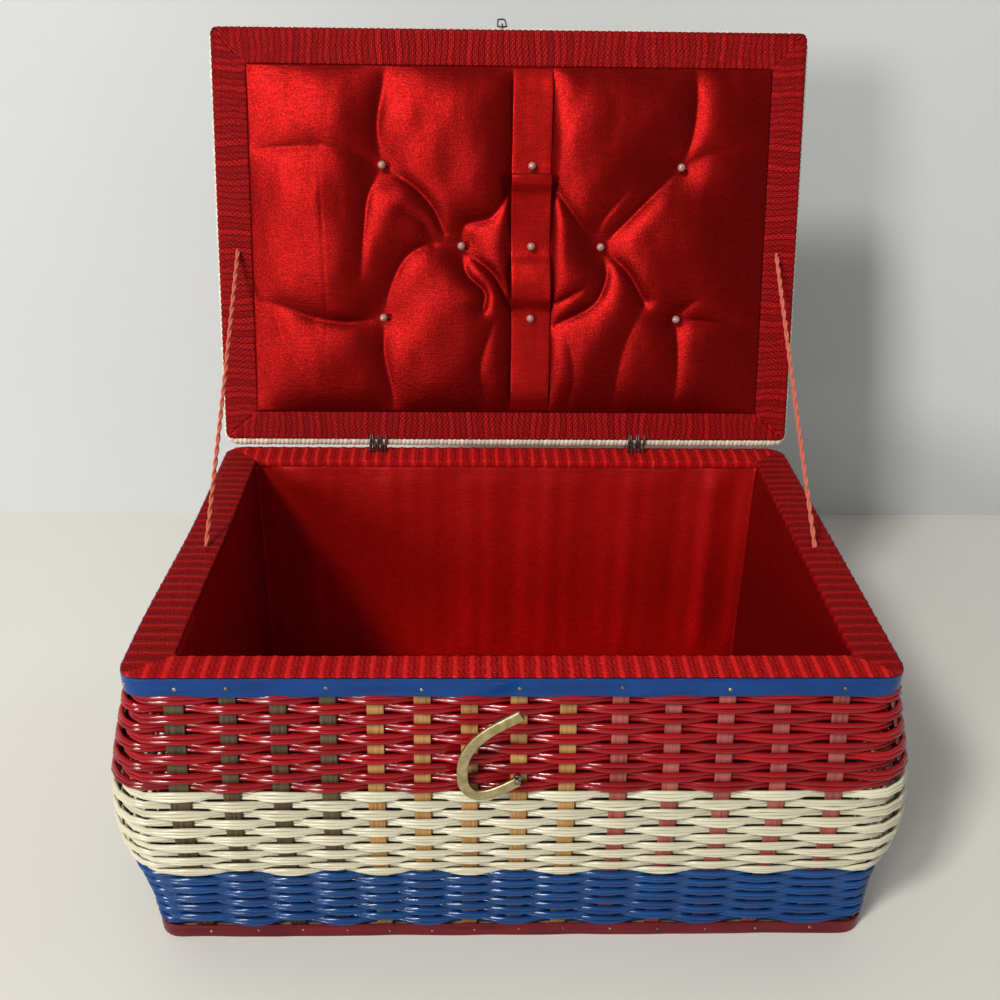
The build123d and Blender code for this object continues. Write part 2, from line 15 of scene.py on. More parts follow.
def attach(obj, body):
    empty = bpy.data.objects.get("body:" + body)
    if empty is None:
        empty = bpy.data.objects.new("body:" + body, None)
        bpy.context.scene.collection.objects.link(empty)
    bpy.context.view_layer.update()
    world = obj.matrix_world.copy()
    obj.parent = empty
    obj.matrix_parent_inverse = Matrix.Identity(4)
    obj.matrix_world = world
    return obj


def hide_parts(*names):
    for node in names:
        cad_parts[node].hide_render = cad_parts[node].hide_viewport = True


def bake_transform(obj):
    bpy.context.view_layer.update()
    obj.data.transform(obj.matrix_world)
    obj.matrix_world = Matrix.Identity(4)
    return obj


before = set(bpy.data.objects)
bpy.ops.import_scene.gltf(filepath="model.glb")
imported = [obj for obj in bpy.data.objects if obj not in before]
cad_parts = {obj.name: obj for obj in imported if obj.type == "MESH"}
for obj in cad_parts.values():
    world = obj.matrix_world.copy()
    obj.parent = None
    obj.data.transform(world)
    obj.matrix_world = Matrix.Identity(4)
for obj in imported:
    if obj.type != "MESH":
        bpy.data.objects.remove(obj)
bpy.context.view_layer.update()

MM = 0.001
UP = np.array([0.0, 0.0, 1.0])
LOG = logging.getLogger("sewing_basket")
Array = np.ndarray
Socket = bpy.types.NodeSocket


# ---- Arithmetic -------------------------------------------------------------------------------
def unit(vectors: Array) -> Array:
    """Divides every vector, along the last axis, by its length."""
    return vectors / np.linalg.norm(vectors, axis=-1, keepdims=True)


def eased(share: Array) -> Array:
    """Goes smoothly from 0 to 1: 3 t^2 - 2 t^3, with t held between 0 and 1."""
    t = np.clip(share, 0, 1)
    return t * t * (3 - 2 * t)


def hump(distance: Array, width: float) -> Array:
    """A bell of height 1 round 0: exp(-(distance / width)^2)."""
    return np.exp(-((distance / width) ** 2))


def smooth_through(places: Array, values: Array, at: Array) -> Array:
    """A smooth curve through points, made of cubic Hermite pieces.

    The slope at each point is the mean slope about it, and on a piece of length L the curve is
    (2t^3-3t^2+1) v0 + (t^3-2t^2+t) L s0 + (3t^2-2t^3) v1 + (t^3-t^2) L s1.

    Args:
        places: Where the points are, rising.
        values: The points' values, one or several columns.
        at: Where the curve is wanted.

    Returns:
        The curve's values, one row for each place asked for.
    """
    values = np.asarray(values, float)
    slopes = np.gradient(values, places, axis=0)
    piece = np.clip(np.searchsorted(places, at) - 1, 0, len(places) - 2)
    length = places[piece + 1] - places[piece]
    t = (at - places[piece]) / length
    if values.ndim > 1:
        t, length = t[:, None], length[:, None]
    start = (2 * t**3 - 3 * t**2 + 1) * values[piece] + (t**3 - 2 * t**2 + t) * length * slopes[piece]
    end = (3 * t**2 - 2 * t**3) * values[piece + 1] + (t**3 - t**2) * length * slopes[piece + 1]
    return start + end


def travelled(path: Array) -> Array:
    """How far along a path each of its points is."""
    return np.concatenate([[0], np.cumsum(np.linalg.norm(np.diff(path, axis=0), axis=1))])


def tangents(path: Array, ring: bool = False) -> Array:
    """The way along a path at each point: from the point before it towards the one after it."""
    return unit(np.roll(path, -1, axis=0) - np.roll(path, 1, axis=0) if ring else np.gradient(path, axis=0))


def line_through(points: Array, count: int) -> Array:
    """Spreads count points evenly along a smooth line through the given points."""
    points = np.asarray(points, float)
    way = travelled(points)
    return smooth_through(way, points, np.linspace(0, way[-1], count))


def wander(seed: int, turns: Array, rates: tuple[int, ...]) -> Array:
    """A gentle wander round a closed ring: the mean of sin(2 pi (rate turn + start)).

    Args:
        seed: Picks where each wave starts.
        turns: Places round the ring, 1 for a whole turn.
        rates: How many waves each sine has round the ring.

    Returns:
        Values between -1 and 1.
    """
    starts = np.random.default_rng(seed).random(len(rates))
    waves = [np.sin(2 * np.pi * (rate * turns + start)) for rate, start in zip(rates, starts)]
    return sum(waves) / len(rates)


def flattened(wave: Array, power: float) -> Array:
    """A wave with flatter tops: sign(wave) |wave|^power."""
    return np.sign(wave) * np.abs(wave) ** power


def ridged(turns: Array) -> Array:
    """A row of half sines, one to a turn: |sin(pi turns)|."""
    return np.abs(np.sin(np.pi * turns))


# ---- Meshes -----------------------------------------------------------------------------------
class Piece:
    """Gathers grids of points, in millimetres, into one closed mesh.

    Every grid is rows by columns of points. The UV map "lay" holds how far along its rows and
    across its columns each corner is.
    """

    def __init__(self, name: str, bent: Callable[[Array], Array] | None = None) -> None:
        """Starts an empty piece, whose points may be bent together at the end."""
        self.name = name
        self.bent = bent
        self.points: list[Array] = []
        self.faces: list[Array] = []
        self.lays: list[Array] = []
        self.marks: dict[str, list[Array]] = {}
        self.count = 0

    def add(
        self,
        grid: Array,
        along: Array | None = None,
        across: Array | None = None,
        ring: bool = False,
        section: bool = True,
        **marks: Array | float,
    ) -> None:
        """Adds a grid of points.

        Args:
            grid: Points, rows by columns by 3.
            along: How far along each row is, with one more value where the rows close in a ring.
            across: How far across each column is, with one more value where the columns close.
            ring: Whether the last row joins the first.
            section: Whether the last column joins the first, as round a section.
            marks: Named values kept on the points.
        """
        rows, columns = grid.shape[:2]
        along = np.arange(rows + 1.0) if along is None else along
        across = np.arange(columns + 1.0) / columns if across is None else across
        row, column = np.meshgrid(
            np.arange(rows - (not ring)), np.arange(columns - (not section)), indexing="ij"
        )
        row, column = row.ravel(), column.ravel()
        corner_rows = np.stack([row, row + 1, row + 1, row], axis=1)
        corner_columns = np.stack([column, column, column + 1, column + 1], axis=1)
        self.faces.append((corner_rows % rows) * columns + corner_columns % columns + self.count)
        self.lays.append(np.stack([along[corner_rows], across[corner_columns]], axis=-1))
        self.points.append(grid.reshape(-1, 3))
        for name, value in marks.items():
            self.marks.setdefault(name, []).append(np.broadcast_to(value, (rows, columns)).ravel())
        self.count += rows * columns

    def build(self, finish: "Finish") -> bpy.types.Object:
        """Makes the mesh object: points that lie on each other become one, and faces are turned outwards.

        Args:
            finish: The finish of the whole piece.

        Returns:
            The new object, at the origin.
        """
        points = np.concatenate(self.points)
        points = (self.bent(points) if self.bent else points) * MM
        faces, lay = np.concatenate(self.faces), np.concatenate(self.lays)
        mesh = bpy.data.meshes.new(self.name)
        mesh.vertices.add(len(points))
        mesh.vertices.foreach_set("co", points.astype(np.float32).ravel())
        mesh.loops.add(faces.size)
        mesh.loops.foreach_set("vertex_index", faces.astype(np.int32).ravel())
        mesh.polygons.add(len(faces))
        mesh.polygons.foreach_set("loop_start", np.arange(0, faces.size, 4, dtype=np.int32))
        mesh.polygons.foreach_set("use_smooth", np.ones(len(faces), bool))
        mesh.uv_layers.new(name="lay").uv.foreach_set("vector", lay.astype(np.float32).ravel())
        for name, values in self.marks.items():
            mark = mesh.attributes.new(name, "FLOAT", "POINT")
            mark.data.foreach_set("value", np.concatenate(values).astype(np.float32))
        mesh.update(calc_edges=True)
        shell = bmesh.new()
        shell.from_mesh(mesh)
        bmesh.ops.remove_doubles(shell, verts=shell.verts, dist=2e-6)
        bmesh.ops.dissolve_degenerate(shell, edges=shell.edges, dist=1e-7)
        bmesh.ops.recalc_face_normals(shell, faces=shell.faces)
        shell.to_mesh(mesh)
        shell.free()
        mesh.materials.append(finish.made())
        made = bpy.data.objects.new(self.name, mesh)
        bpy.context.scene.collection.objects.link(made)
        return made


def settle(piece: Piece, finish: "Finish", body: str, slot: str, *replaces: str) -> bpy.types.Object:
    """Builds a piece, ties it to its body and hides the nodes that it stands for."""
    made = piece.build(finish)
    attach(made, body)
    if replaces:
        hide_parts(*replaces)
    LOG.info("%s: %d faces on %s", made.name, len(made.data.polygons), body)
    return made


def box_section(width: float, thickness: float, sides: int = 12, power: float = 0.35) -> tuple[Array, Array]:
    """A rounded rectangle: half its size times the flattened cosine and sine of each side's angle."""
    angle = (np.arange(sides) + 0.5) * 2 * np.pi / sides
    return flattened(np.cos(angle), power) * width / 2, flattened(np.sin(angle), power) * thickness / 2


def round_section(radius: float, sides: int) -> tuple[Array, Array]:
    """A circle: radius times cos a and sin a."""
    angle = np.arange(sides) * 2 * np.pi / sides
    return radius * np.cos(angle), radius * np.sin(angle)


def carried(path: Array, first: Array, second: Array, section: tuple[Array, Array]) -> Array:
    """Carries a section along a path: path + first a + second b, for the section's points (a, b).

    Args:
        path: The middle of the section, one row for each step.
        first: The way of the section's first axis at each step, of length 1.
        second: The way of its second axis.
        section: The two coordinates of the section's points.

    Returns:
        A grid of points, steps by section points.
    """
    first, second = (np.broadcast_to(way, path.shape)[:, None, :] for way in (first, second))
    return path[:, None, :] + first * section[0][:, None] + second * section[1][:, None]


def capped(grid: Array) -> Array:
    """Closes both ends of an open grid with a row drawn together at the end's middle."""
    ends = [np.broadcast_to(row.mean(axis=0), row.shape) for row in (grid[0], grid[-1])]
    return np.concatenate([ends[:1], grid, ends[1:]])


def wire(path: Array, radius: float, sides: int, ring: bool = False) -> Array:
    """A round wire along a path, whose section never lies in the path.

    The section's axes are across = tangent x reference and tangent x across, where the reference is
    the way along which the path reaches least.

    Args:
        path: Points along the wire's middle.
        radius: Of the wire.
        sides: Of its section.
        ring: Whether the wire is a closed loop.

    Returns:
        A grid of points, with closed ends unless it is a ring.
    """
    tangent = tangents(path, ring)
    across = unit(np.cross(tangent, np.eye(3)[np.argmin(np.ptp(path, axis=0))]))
    grid = carried(path, across, np.cross(tangent, across), round_section(radius, sides))
    return grid if ring else capped(grid)


def turned(middle: Array, axis: Array, profile: Array, sides: int) -> Array:
    """Turns a profile round an axis: middle + axis d + r (p cos a + q sin a).

    Args:
        middle: A point on the axis.
        axis: The way of the axis, of length 1.
        profile: Rows of radius r and distance d along the axis.
        sides: How many columns go round.

    Returns:
        A grid of points, profile rows by sides.
    """
    axis = np.asarray(axis, float)
    p = unit(np.cross(axis, [0.3, 0.2, 1.0] if abs(axis[2]) < 0.9 else [1.0, 0.2, 0.1]))
    q = np.cross(axis, p)
    angle = np.arange(sides) * 2 * np.pi / sides
    way = np.cos(angle)[:, None] * p + np.sin(angle)[:, None] * q
    return middle + profile[:, 1, None, None] * axis + profile[:, 0, None, None] * way


# ---- The basket's and the lid's frames -----------------------------------------------------------
@dataclass(frozen=True)
class RoundedPlan:
    """A rectangle with round corners seen from above, walked from the front's middle towards +X."""

    half_width: float
    half_depth: float
    radius: float
    middle_y: float = 0.0

    @property
    def length(self) -> float:
        """The length of the whole outline."""
        return 4 * (self.half_width + self.half_depth) - 8 * self.radius + 2 * math.pi * self.radius

    def ring(self, count: int, start: float = 0.0) -> tuple[Array, Array, Array]:
        """Points spread evenly round the outline: their turns, themselves and the ways out of it."""
        turns = np.arange(count) / count
        return (turns, *self.at((turns + start) * self.length))

    def at(self, distance: Array) -> tuple[Array, Array]:
        """Points on the outline and the ways out of it.

        A point is the middle of the nearest corner's arc, which slides along the straights, plus the
        radius times the way out, which turns along the arcs.

        Args:
            distance: How far round each point is.

        Returns:
            The points, with z 0, and the outward unit vectors.
        """
        a, b, arc = self.half_width - self.radius, self.half_depth - self.radius, math.pi * self.radius / 2
        ends = np.cumsum([0, a, arc, 2 * b, arc, 2 * a, arc, 2 * b, arc, a])
        walked = np.mod(distance, self.length)
        turn = np.interp(walked, ends, np.radians([-90, -90, 0, 0, 90, 90, 180, 180, 270, 270]))
        middle_x = np.interp(walked, ends, [0, a, a, a, a, -a, -a, -a, -a, 0])
        middle_y = np.interp(walked, ends, [-b, -b, -b, b, b, b, b, -b, -b, -b]) + self.middle_y
        out = np.stack([np.cos(turn), np.sin(turn), np.zeros_like(turn)], axis=-1)
        return np.stack([middle_x, middle_y, np.zeros_like(turn)], axis=-1) + self.radius * out, out


@dataclass(frozen=True)
class LidFrame:
    """The lid's own frame: x across, u along the lid from its hinge, h out of its inner face."""

    hinge_y: float
    hinge_z: float
    lean: float = 16.0

    def place(self, x: Array, u: Array, h: Array) -> Array:
        """Points from places in the lid's frame: y = hinge + u sin - h cos, z = hinge + u cos + h sin."""
        x, u, h = np.broadcast_arrays(*(np.asarray(value, float) for value in (x, u, h)))
        s, c = math.sin(math.radians(self.lean)), math.cos(math.radians(self.lean))
        return np.stack([x, self.hinge_y + u * s - h * c, self.hinge_z + u * c + h * s], axis=-1)

    def laid(self, flat: Array) -> Array:
        """Turns rows of places in the lid's frame into points."""
        return self.place(*flat.T)

    def ways(self) -> tuple[Array, Array, Array]:
        """The unit vectors across, along and out of the lid."""
        origin = self.place(0, 0, 0)
        return tuple(self.place(*step) - origin for step in np.eye(3))


@dataclass(frozen=True)
class Wall:
    """The basket's woven wall: its plan at the stakes' middle and how it bows out."""

    width: float = 297.0
    depth: float = 207.0
    corner_radius: float = 10.0
    middle_inset: float = 2.85
    top: float = 135.0
    stake_count: int = 50
    bow_heights: tuple[float, ...] = (0, 20, 40, 52, 64, 76, 88, 101, 110, 121, 130)
    bows: tuple[float, ...] = (0, 2.0, 6.4, 10.0, 11.7, 11.1, 9.5, 6.6, 4.3, 1.4, 0)
    front_stakes: tuple[float, ...] = (
        -150, -130, -111, -92, -73, -55, -37, -19, 0, 19, 39, 59.5, 80, 101.5, 124, 147,
    )

    def plan(self, inset: float) -> RoundedPlan:
        """The wall's outline, drawn in from the rim's outer face."""
        return RoundedPlan(self.width / 2 - inset, self.depth / 2 - inset, self.corner_radius - inset)

    def bow(self, height: Array) -> Array:
        """How far the wall stands out at a height."""
        return smooth_through(np.array(self.bow_heights, float), np.array(self.bows), np.atleast_1d(height))

    def walked(self, number: Array) -> Array:
        """How far round the wall a stake stands, counted from the front's middle."""
        half = self.stake_count // 2
        round_half = self.plan(self.middle_inset).length / 2
        known = np.arange(len(self.front_stakes)) - self.front_stakes.index(0)
        numbers = np.concatenate([[-half], known, [half]])
        return np.interp(number, numbers, [-round_half, *self.front_stakes, round_half])

    def at(self, number: Array) -> tuple[Array, Array]:
        """The point on the wall's mid-line at a stake, and the way out."""
        return self.plan(self.middle_inset).at(self.walked(np.asarray(number, float)))


def out_of_square(points: Array) -> Array:
    """Moves the front left corner and the front right foot 3.4 mm out, as a handmade basket stands."""
    x, y, z = points.T
    forward = eased((30 - y) / 110)
    left = 3.4 * eased((-x - 118) / 26) * forward
    right = 3.4 * eased((x - 118) / 26) * forward * eased((42 - z) / 38)
    return np.stack([x - left + right, y, z], axis=1)


# ---- Finishes -----------------------------------------------------------------------------------
class Nodes:
    """Short ways to add and join the nodes of one material."""

    def __init__(self, name: str, **sockets: float | tuple[float, ...]) -> None:
        """Starts a material with one Principled shader, whose given sockets hold plain values."""
        self.material = bpy.data.materials.new(name)
        self.material.use_nodes = True
        self.tree = self.material.node_tree
        self.shader = self.tree.nodes["Principled BSDF"]
        for socket, value in sockets.items():
            self.shader.inputs[socket.replace("_", " ").title().replace("Ior", "IOR")].default_value = value

    def give(self, socket: Socket, value: Socket | float | tuple[float, ...]) -> None:
        """Joins a socket to another one, or sets its plain value."""
        if isinstance(value, bpy.types.NodeSocket):
            self.tree.links.new(value, socket)
        else:
            socket.default_value = value

    def node(
        self, kind: str, inputs: dict[str | int, object], output: str | int = 0, **settings: object
    ) -> Socket:
        """Adds a node.

        Args:
            kind: Its type, without the ShaderNode in front.
            inputs: Values or sockets for its inputs, by name or number.
            output: Which of its outputs is wanted.
            settings: Its own settings.

        Returns:
            The output.
        """
        made = self.tree.nodes.new("ShaderNode" + kind)
        for name, value in settings.items():
            setattr(made, name, value)
        for socket, value in inputs.items():
            self.give(made.inputs[socket], value)
        return made.outputs[output]

    def math(self, operation: str, first: object, second: object = 0.0) -> Socket:
        """One step of arithmetic."""
        return self.node("Math", {0: first, 1: second}, operation=operation)

    def lay(self) -> Socket:
        """The piece's own map: how far along and across it a place is."""
        return self.node("UVMap", {}, uv_map="lay")

    def place(self) -> Socket:
        """The place in the object, in metres."""
        return self.node("TexCoord", {}, "Object")

    def mark(self, name: str) -> Socket:
        """A value kept on the mesh's points."""
        return self.node("Attribute", {}, "Fac", attribute_name=name)

    def scaled(self, place: Socket, scale: tuple[float, float, float]) -> Socket:
        """The place, stretched along each axis."""
        return self.node("VectorMath", {0: place, 1: scale}, operation="MULTIPLY")

    def noise(self, place: Socket, scale: float, detail: float = 3.0) -> Socket:
        """Cloudy noise, from 0 to 1, with scale cells to a unit."""
        return self.node("TexNoise", {"Vector": place, "Scale": scale, "Detail": detail}, "Fac")

    def drawn(self, place: Socket, scale: tuple[float, float, float], detail: float) -> Socket:
        """Noise drawn out along the axes: one cell to a unit of the scaled place."""
        return self.noise(self.scaled(place, scale), 1.0, detail)

    def ridges(self, place: Socket, axis: str, scale: float, distortion: float = 0.0) -> Socket:
        """Even ridges across an axis: the half sine of place times scale, a little distorted."""
        return self.node(
            "TexWave",
            {"Vector": place, "Scale": scale, "Distortion": distortion, "Detail": 1.0},
            "Fac",
            bands_direction=axis,
        )

    def ramp(
        self, share: Socket, low: float, high: float, to_low: float = 0.0, to_high: float = 1.0
    ) -> Socket:
        """Maps low ... high to to_low ... to_high and holds it there."""
        return self.node("MapRange", {0: share, 1: low, 2: high, 3: to_low, 4: to_high})

    def spread(self, noise: Socket, to_low: float = 0.0, to_high: float = 1.0) -> Socket:
        """Maps 0.3 ... 0.7, where noise mostly lies, to to_low ... to_high."""
        return self.ramp(noise, 0.3, 0.7, to_low, to_high)

    def mix(self, share: Socket | float, first: object, second: object) -> Socket:
        """Mixes two colours."""
        made = self.tree.nodes.new("ShaderNodeMix")
        made.data_type = "RGBA"
        for number, value in ((0, share), (6, first), (7, second)):
            value = (*value, 1.0) if isinstance(value, tuple) else value
            self.give(made.inputs[number], value)
        return made.outputs[2]

    def bump(self, height: Socket, depth: float, below: Socket | None = None) -> Socket:
        """A bump of the given depth in metres, over another one."""
        inputs = {"Height": height, "Distance": depth, "Strength": 1.0}
        if below is not None:
            inputs["Normal"] = below
        return self.node("Bump", inputs)

    def finish(
        self, color: Socket, roughness: Socket | None = None, normal: Socket | None = None
    ) -> bpy.types.Material:
        """Joins colour, roughness and bump to the shader and gives the material."""
        for name, value in (("Base Color", color), ("Roughness", roughness), ("Normal", normal)):
            if value is not None:
                self.give(self.shader.inputs[name], value)
        return self.material


Color = tuple[float, float, float]


@dataclass(frozen=True)
class TwoTone:
    """A finish that goes between two tones."""

    name: str
    light: Color
    dark: Color


@dataclass(frozen=True)
class StrandFinish(TwoTone):
    """A glossy wrapped strand: long fibres, a tone for each strand, and darker worn stretches."""

    roughness: float = 0.2
    fibre_depth: float = 0.000012

    def material(self) -> bpy.types.Material:
        """Mixes dark to light by tone + long noise, and raises fibres by noise drawn out along the strand."""
        n = Nodes(self.name, specular_ior_level=0.42, coat_weight=0.06, coat_roughness=0.12)
        lay = n.lay()
        long = n.drawn(lay, (0.09, 1.5, 1.0), 4.0)
        fibre = n.drawn(lay, (0.35, 9.0, 1.0), 3.0)
        tone = n.math("ADD", n.mark("tone"), n.spread(long, -0.3, 0.3))
        color = n.mix(n.ramp(tone, 0.0, 1.0), self.dark, self.light)
        color = n.mix(n.ramp(fibre, 0.35, 0.55, 0.12, 0.0), color, self.dark)
        rough = n.spread(long, self.roughness + 0.06, self.roughness)
        return n.finish(color, rough, n.bump(fibre, self.fibre_depth))


@dataclass(frozen=True)
class StripFinish(TwoTone):
    """A flat split strip: fine grain along it, glossy, with darker streaks."""

    grain: tuple[float, float] = (0.04, 4.0)
    roughness: float = 0.25
    coat: float = 0.3

    def material(self) -> bpy.types.Material:
        """Streaks are noise drawn out along the strip, and the same streaks raise the grain."""
        n = Nodes(self.name, specular_ior_level=0.22, coat_weight=self.coat, coat_roughness=0.1)
        lay = n.lay()
        streak = n.drawn(lay, (*self.grain, 1.0), 5.0)
        cloud = n.drawn(lay, (0.05, 0.2, 1.0), 3.0)
        share = n.math("ADD", n.spread(streak, -0.2, 0.6), n.spread(cloud, 0.0, 0.6))
        color = n.mix(n.ramp(share, 0.0, 1.0), self.dark, self.light)
        rough = n.spread(streak, self.roughness + 0.15, self.roughness)
        return n.finish(color, rough, n.bump(streak, 0.00015))


@dataclass(frozen=True)
class SatinFinish(TwoTone):
    """Red satin: fine crossed threads, a tinted shine, a mottle as fine as the threads' knots, and painted
    shade where a mark on the points asks for it.
    """

    mottle: float = 850.0
    metallic: float = 0.88
    roughness: float = 0.36
    thread_scale: float = 900.0

    def material(self) -> bpy.types.Material:
        """Threads are two crossed ridges, slubs are noise drawn out along X, and fine noise mottles both; a
        mark on the points mixes in painted shade.
        """
        n = Nodes(self.name, metallic=self.metallic, specular_ior_level=0.3, anisotropic=0.2)
        place = n.place()
        fine = n.noise(place, self.mottle, 2.0)
        slub = n.drawn(place, (130.0, 1500.0, 1500.0), 2.0)
        slow = n.noise(place, 30.0, 1.0)
        weave = n.math("ADD", *(n.ridges(place, axis, self.thread_scale) for axis in "XZ"))
        share = n.math("ADD", n.spread(fine, 0.0, 0.5), n.spread(slub, 0.0, 0.5))
        color = n.mix(share, self.dark, self.light)
        rough = n.spread(fine, self.roughness + 0.08, self.roughness - 0.04)
        ripple = n.drawn(place, (75.0, 45.0, 38.0), 1.0)
        soft = n.bump(ripple, 0.0007, n.bump(slow, 0.0006))
        grain = n.bump(n.math("ADD", fine, slub), 0.00010, soft)
        # Painted shade: the mark darkens the colour towards a much darker red.
        color = n.mix(n.mark("shade"), color, (self.dark[0] * 0.35, self.dark[1] * 0.2, self.dark[2] * 0.2))
        return n.finish(color, rough, n.bump(weave, 0.000015, grain))


@dataclass(frozen=True)
class BraidFinish:
    """Ribbed braid: silky ribs under a painted highlight, darker threads between them, deep gaps in painted
    shade, and painted glints on single lifted threads.
    """

    name: str
    rib: Color
    ground: Color
    painted_shade_color: Color
    glint: Color = (0.66, 0.09, 0.085)

    def material(self) -> bpy.types.Material:
        """The relief mark goes from the painted shade of the gaps to ground to the painted highlight of the
        ribs, and noise drawn out across lifts threads and picks those that get a painted glint.
        """
        n = Nodes(self.name, specular_ior_level=0.07)
        lay = n.lay()
        thread = n.drawn(lay, (0.6, 2.2, 1.0), 3.0)
        fuzz = n.drawn(lay, (3.0, 3.0, 1.0), 4.0)
        relief = n.mark("relief")
        # Painted shade in the grooves and a painted highlight on the crests: low relief takes the dark shade
        # colour, high relief the lighter rib colour.
        color = n.mix(n.ramp(relief, 0.08, 0.36), self.painted_shade_color, self.ground)
        color = n.mix(n.ramp(relief, 0.42, 0.85), color, self.rib)
        # Painted glint on single threads where the relief stands up.
        painted_glint_share = n.math("MULTIPLY", n.ramp(relief, 0.3, 0.6), n.ramp(thread, 0.55, 0.72, 0.0, 0.55))
        color = n.mix(painted_glint_share, color, self.glint)
        color = n.mix(n.ramp(fuzz, 0.3, 0.46, 0.5, 0.0), color, self.painted_shade_color)
        # Painted shade: the mark mixes the side strips towards the painted shade colour.
        color = n.mix(n.mark("shade"), self.painted_shade_color, color)
        height = n.math("ADD", thread, fuzz)
        return n.finish(color, n.spread(fuzz, 0.50, 0.70), n.bump(height, 0.00022))


@dataclass(frozen=True)
class MetalFinish(TwoTone):
    """Worn metal: cloudy tarnish, fine scratches and brighter worn places."""

    roughness: float
    metallic: float = 1.0

    def material(self) -> bpy.types.Material:
        """Cloud noise mixes the tones, and noise drawn out along the piece makes the scratches."""
        n = Nodes(self.name, metallic=self.metallic, anisotropic=0.2)
        place = n.place()
        cloud = n.noise(place, 260.0, 5.0)
        scratch = n.drawn(place, (4000.0, 4000.0, 600.0), 2.0)
        color = n.mix(n.ramp(cloud, 0.35, 0.65), self.dark, self.light)
        tarnish = n.spread(cloud, self.roughness + 0.12, self.roughness - 0.05)
        rough = n.math("ADD", tarnish, n.spread(scratch, -0.04, 0.06))
        return n.finish(color, rough, n.bump(n.math("ADD", cloud, scratch), 0.00005))


@dataclass(frozen=True)
class PearlFinish(TwoTone):
    """Pearl: dusky pink under a clear coat, with slow clouds of a warmer tone."""

    def material(self) -> bpy.types.Material:
        """Cloud noise mixes a warmer tone into a pinkish one, and a clear coat gives the shine."""
        n = Nodes(self.name, roughness=0.18, specular_ior_level=0.6, coat_weight=0.8, coat_roughness=0.04)
        cloud = n.noise(n.place(), 500.0, 3.0)
        color = n.mix(n.ramp(cloud, 0.35, 0.7), self.light, self.dark)
        return n.finish(color, n.spread(cloud, 0.14, 0.24), n.bump(cloud, 0.00003))


@dataclass(frozen=True)
class YarnFinish(TwoTone):
    """Soft spun yarn: hairs that follow the twist, and no gloss."""

    def material(self) -> bpy.types.Material:
        """Slanting ridges in the ply's map are the spun hairs, and noise breaks them up."""
        n = Nodes(
            self.name, roughness=0.85, specular_ior_level=0.2, sheen_weight=0.6, sheen_roughness=0.5,
            sheen_tint=(1.0, 0.6, 0.5, 1.0),
        )
        lay = n.lay()
        hair = n.drawn(lay, (2.2, 5.0, 1.0), 5.0)
        spin = n.ridges(n.scaled(lay, (1.0, 3.0, 1.0)), "DIAGONAL", 0.9, 2.0)
        color = n.mix(n.ramp(n.math("MULTIPLY", hair, spin), 0.1, 0.45), self.dark, self.light)
        return n.finish(color, None, n.bump(n.math("ADD", hair, spin), 0.00022))


@dataclass(frozen=True)
class BoardFinish(TwoTone):
    """Plain wood or board: grain along X, pores and darker clouds."""

    def material(self) -> bpy.types.Material:
        """Noise drawn out along X is the grain, finer noise the pores."""
        n = Nodes(self.name, specular_ior_level=0.3)
        place = n.place()
        grain = n.drawn(place, (12.0, 240.0, 240.0), 5.0)
        pore = n.drawn(place, (300.0, 1800.0, 1800.0), 2.0)
        color = n.mix(n.spread(grain), self.dark, self.light)
        color = n.mix(n.ramp(pore, 0.6, 0.75, 0.0, 0.4), color, self.dark)
        return n.finish(color, n.spread(grain, 0.62, 0.78), n.bump(n.math("ADD", grain, pore), 0.0002))


@dataclass(frozen=True)
class GroundFinish(TwoTone):
    """Pale matte floor or wall paper, clear from behind, with barely seen clouds."""

    def material(self) -> bpy.types.Material:
        """Slow noise mixes two near tones, and a face seen from its back lets everything through."""
        n = Nodes(self.name, specular_ior_level=0.2, roughness=0.9)
        color = n.mix(n.spread(n.noise(n.place(), 3.0, 4.0)), self.dark, self.light)
        n.finish(color)
        output = n.tree.nodes["Material Output"]
        behind = n.node("NewGeometry", {}, "Backfacing")
        clear = n.node("BsdfTransparent", {})
        n.give(output.inputs[0], n.node("MixShader", {0: behind, 1: n.shader.outputs[0], 2: clear}))
        return n.material


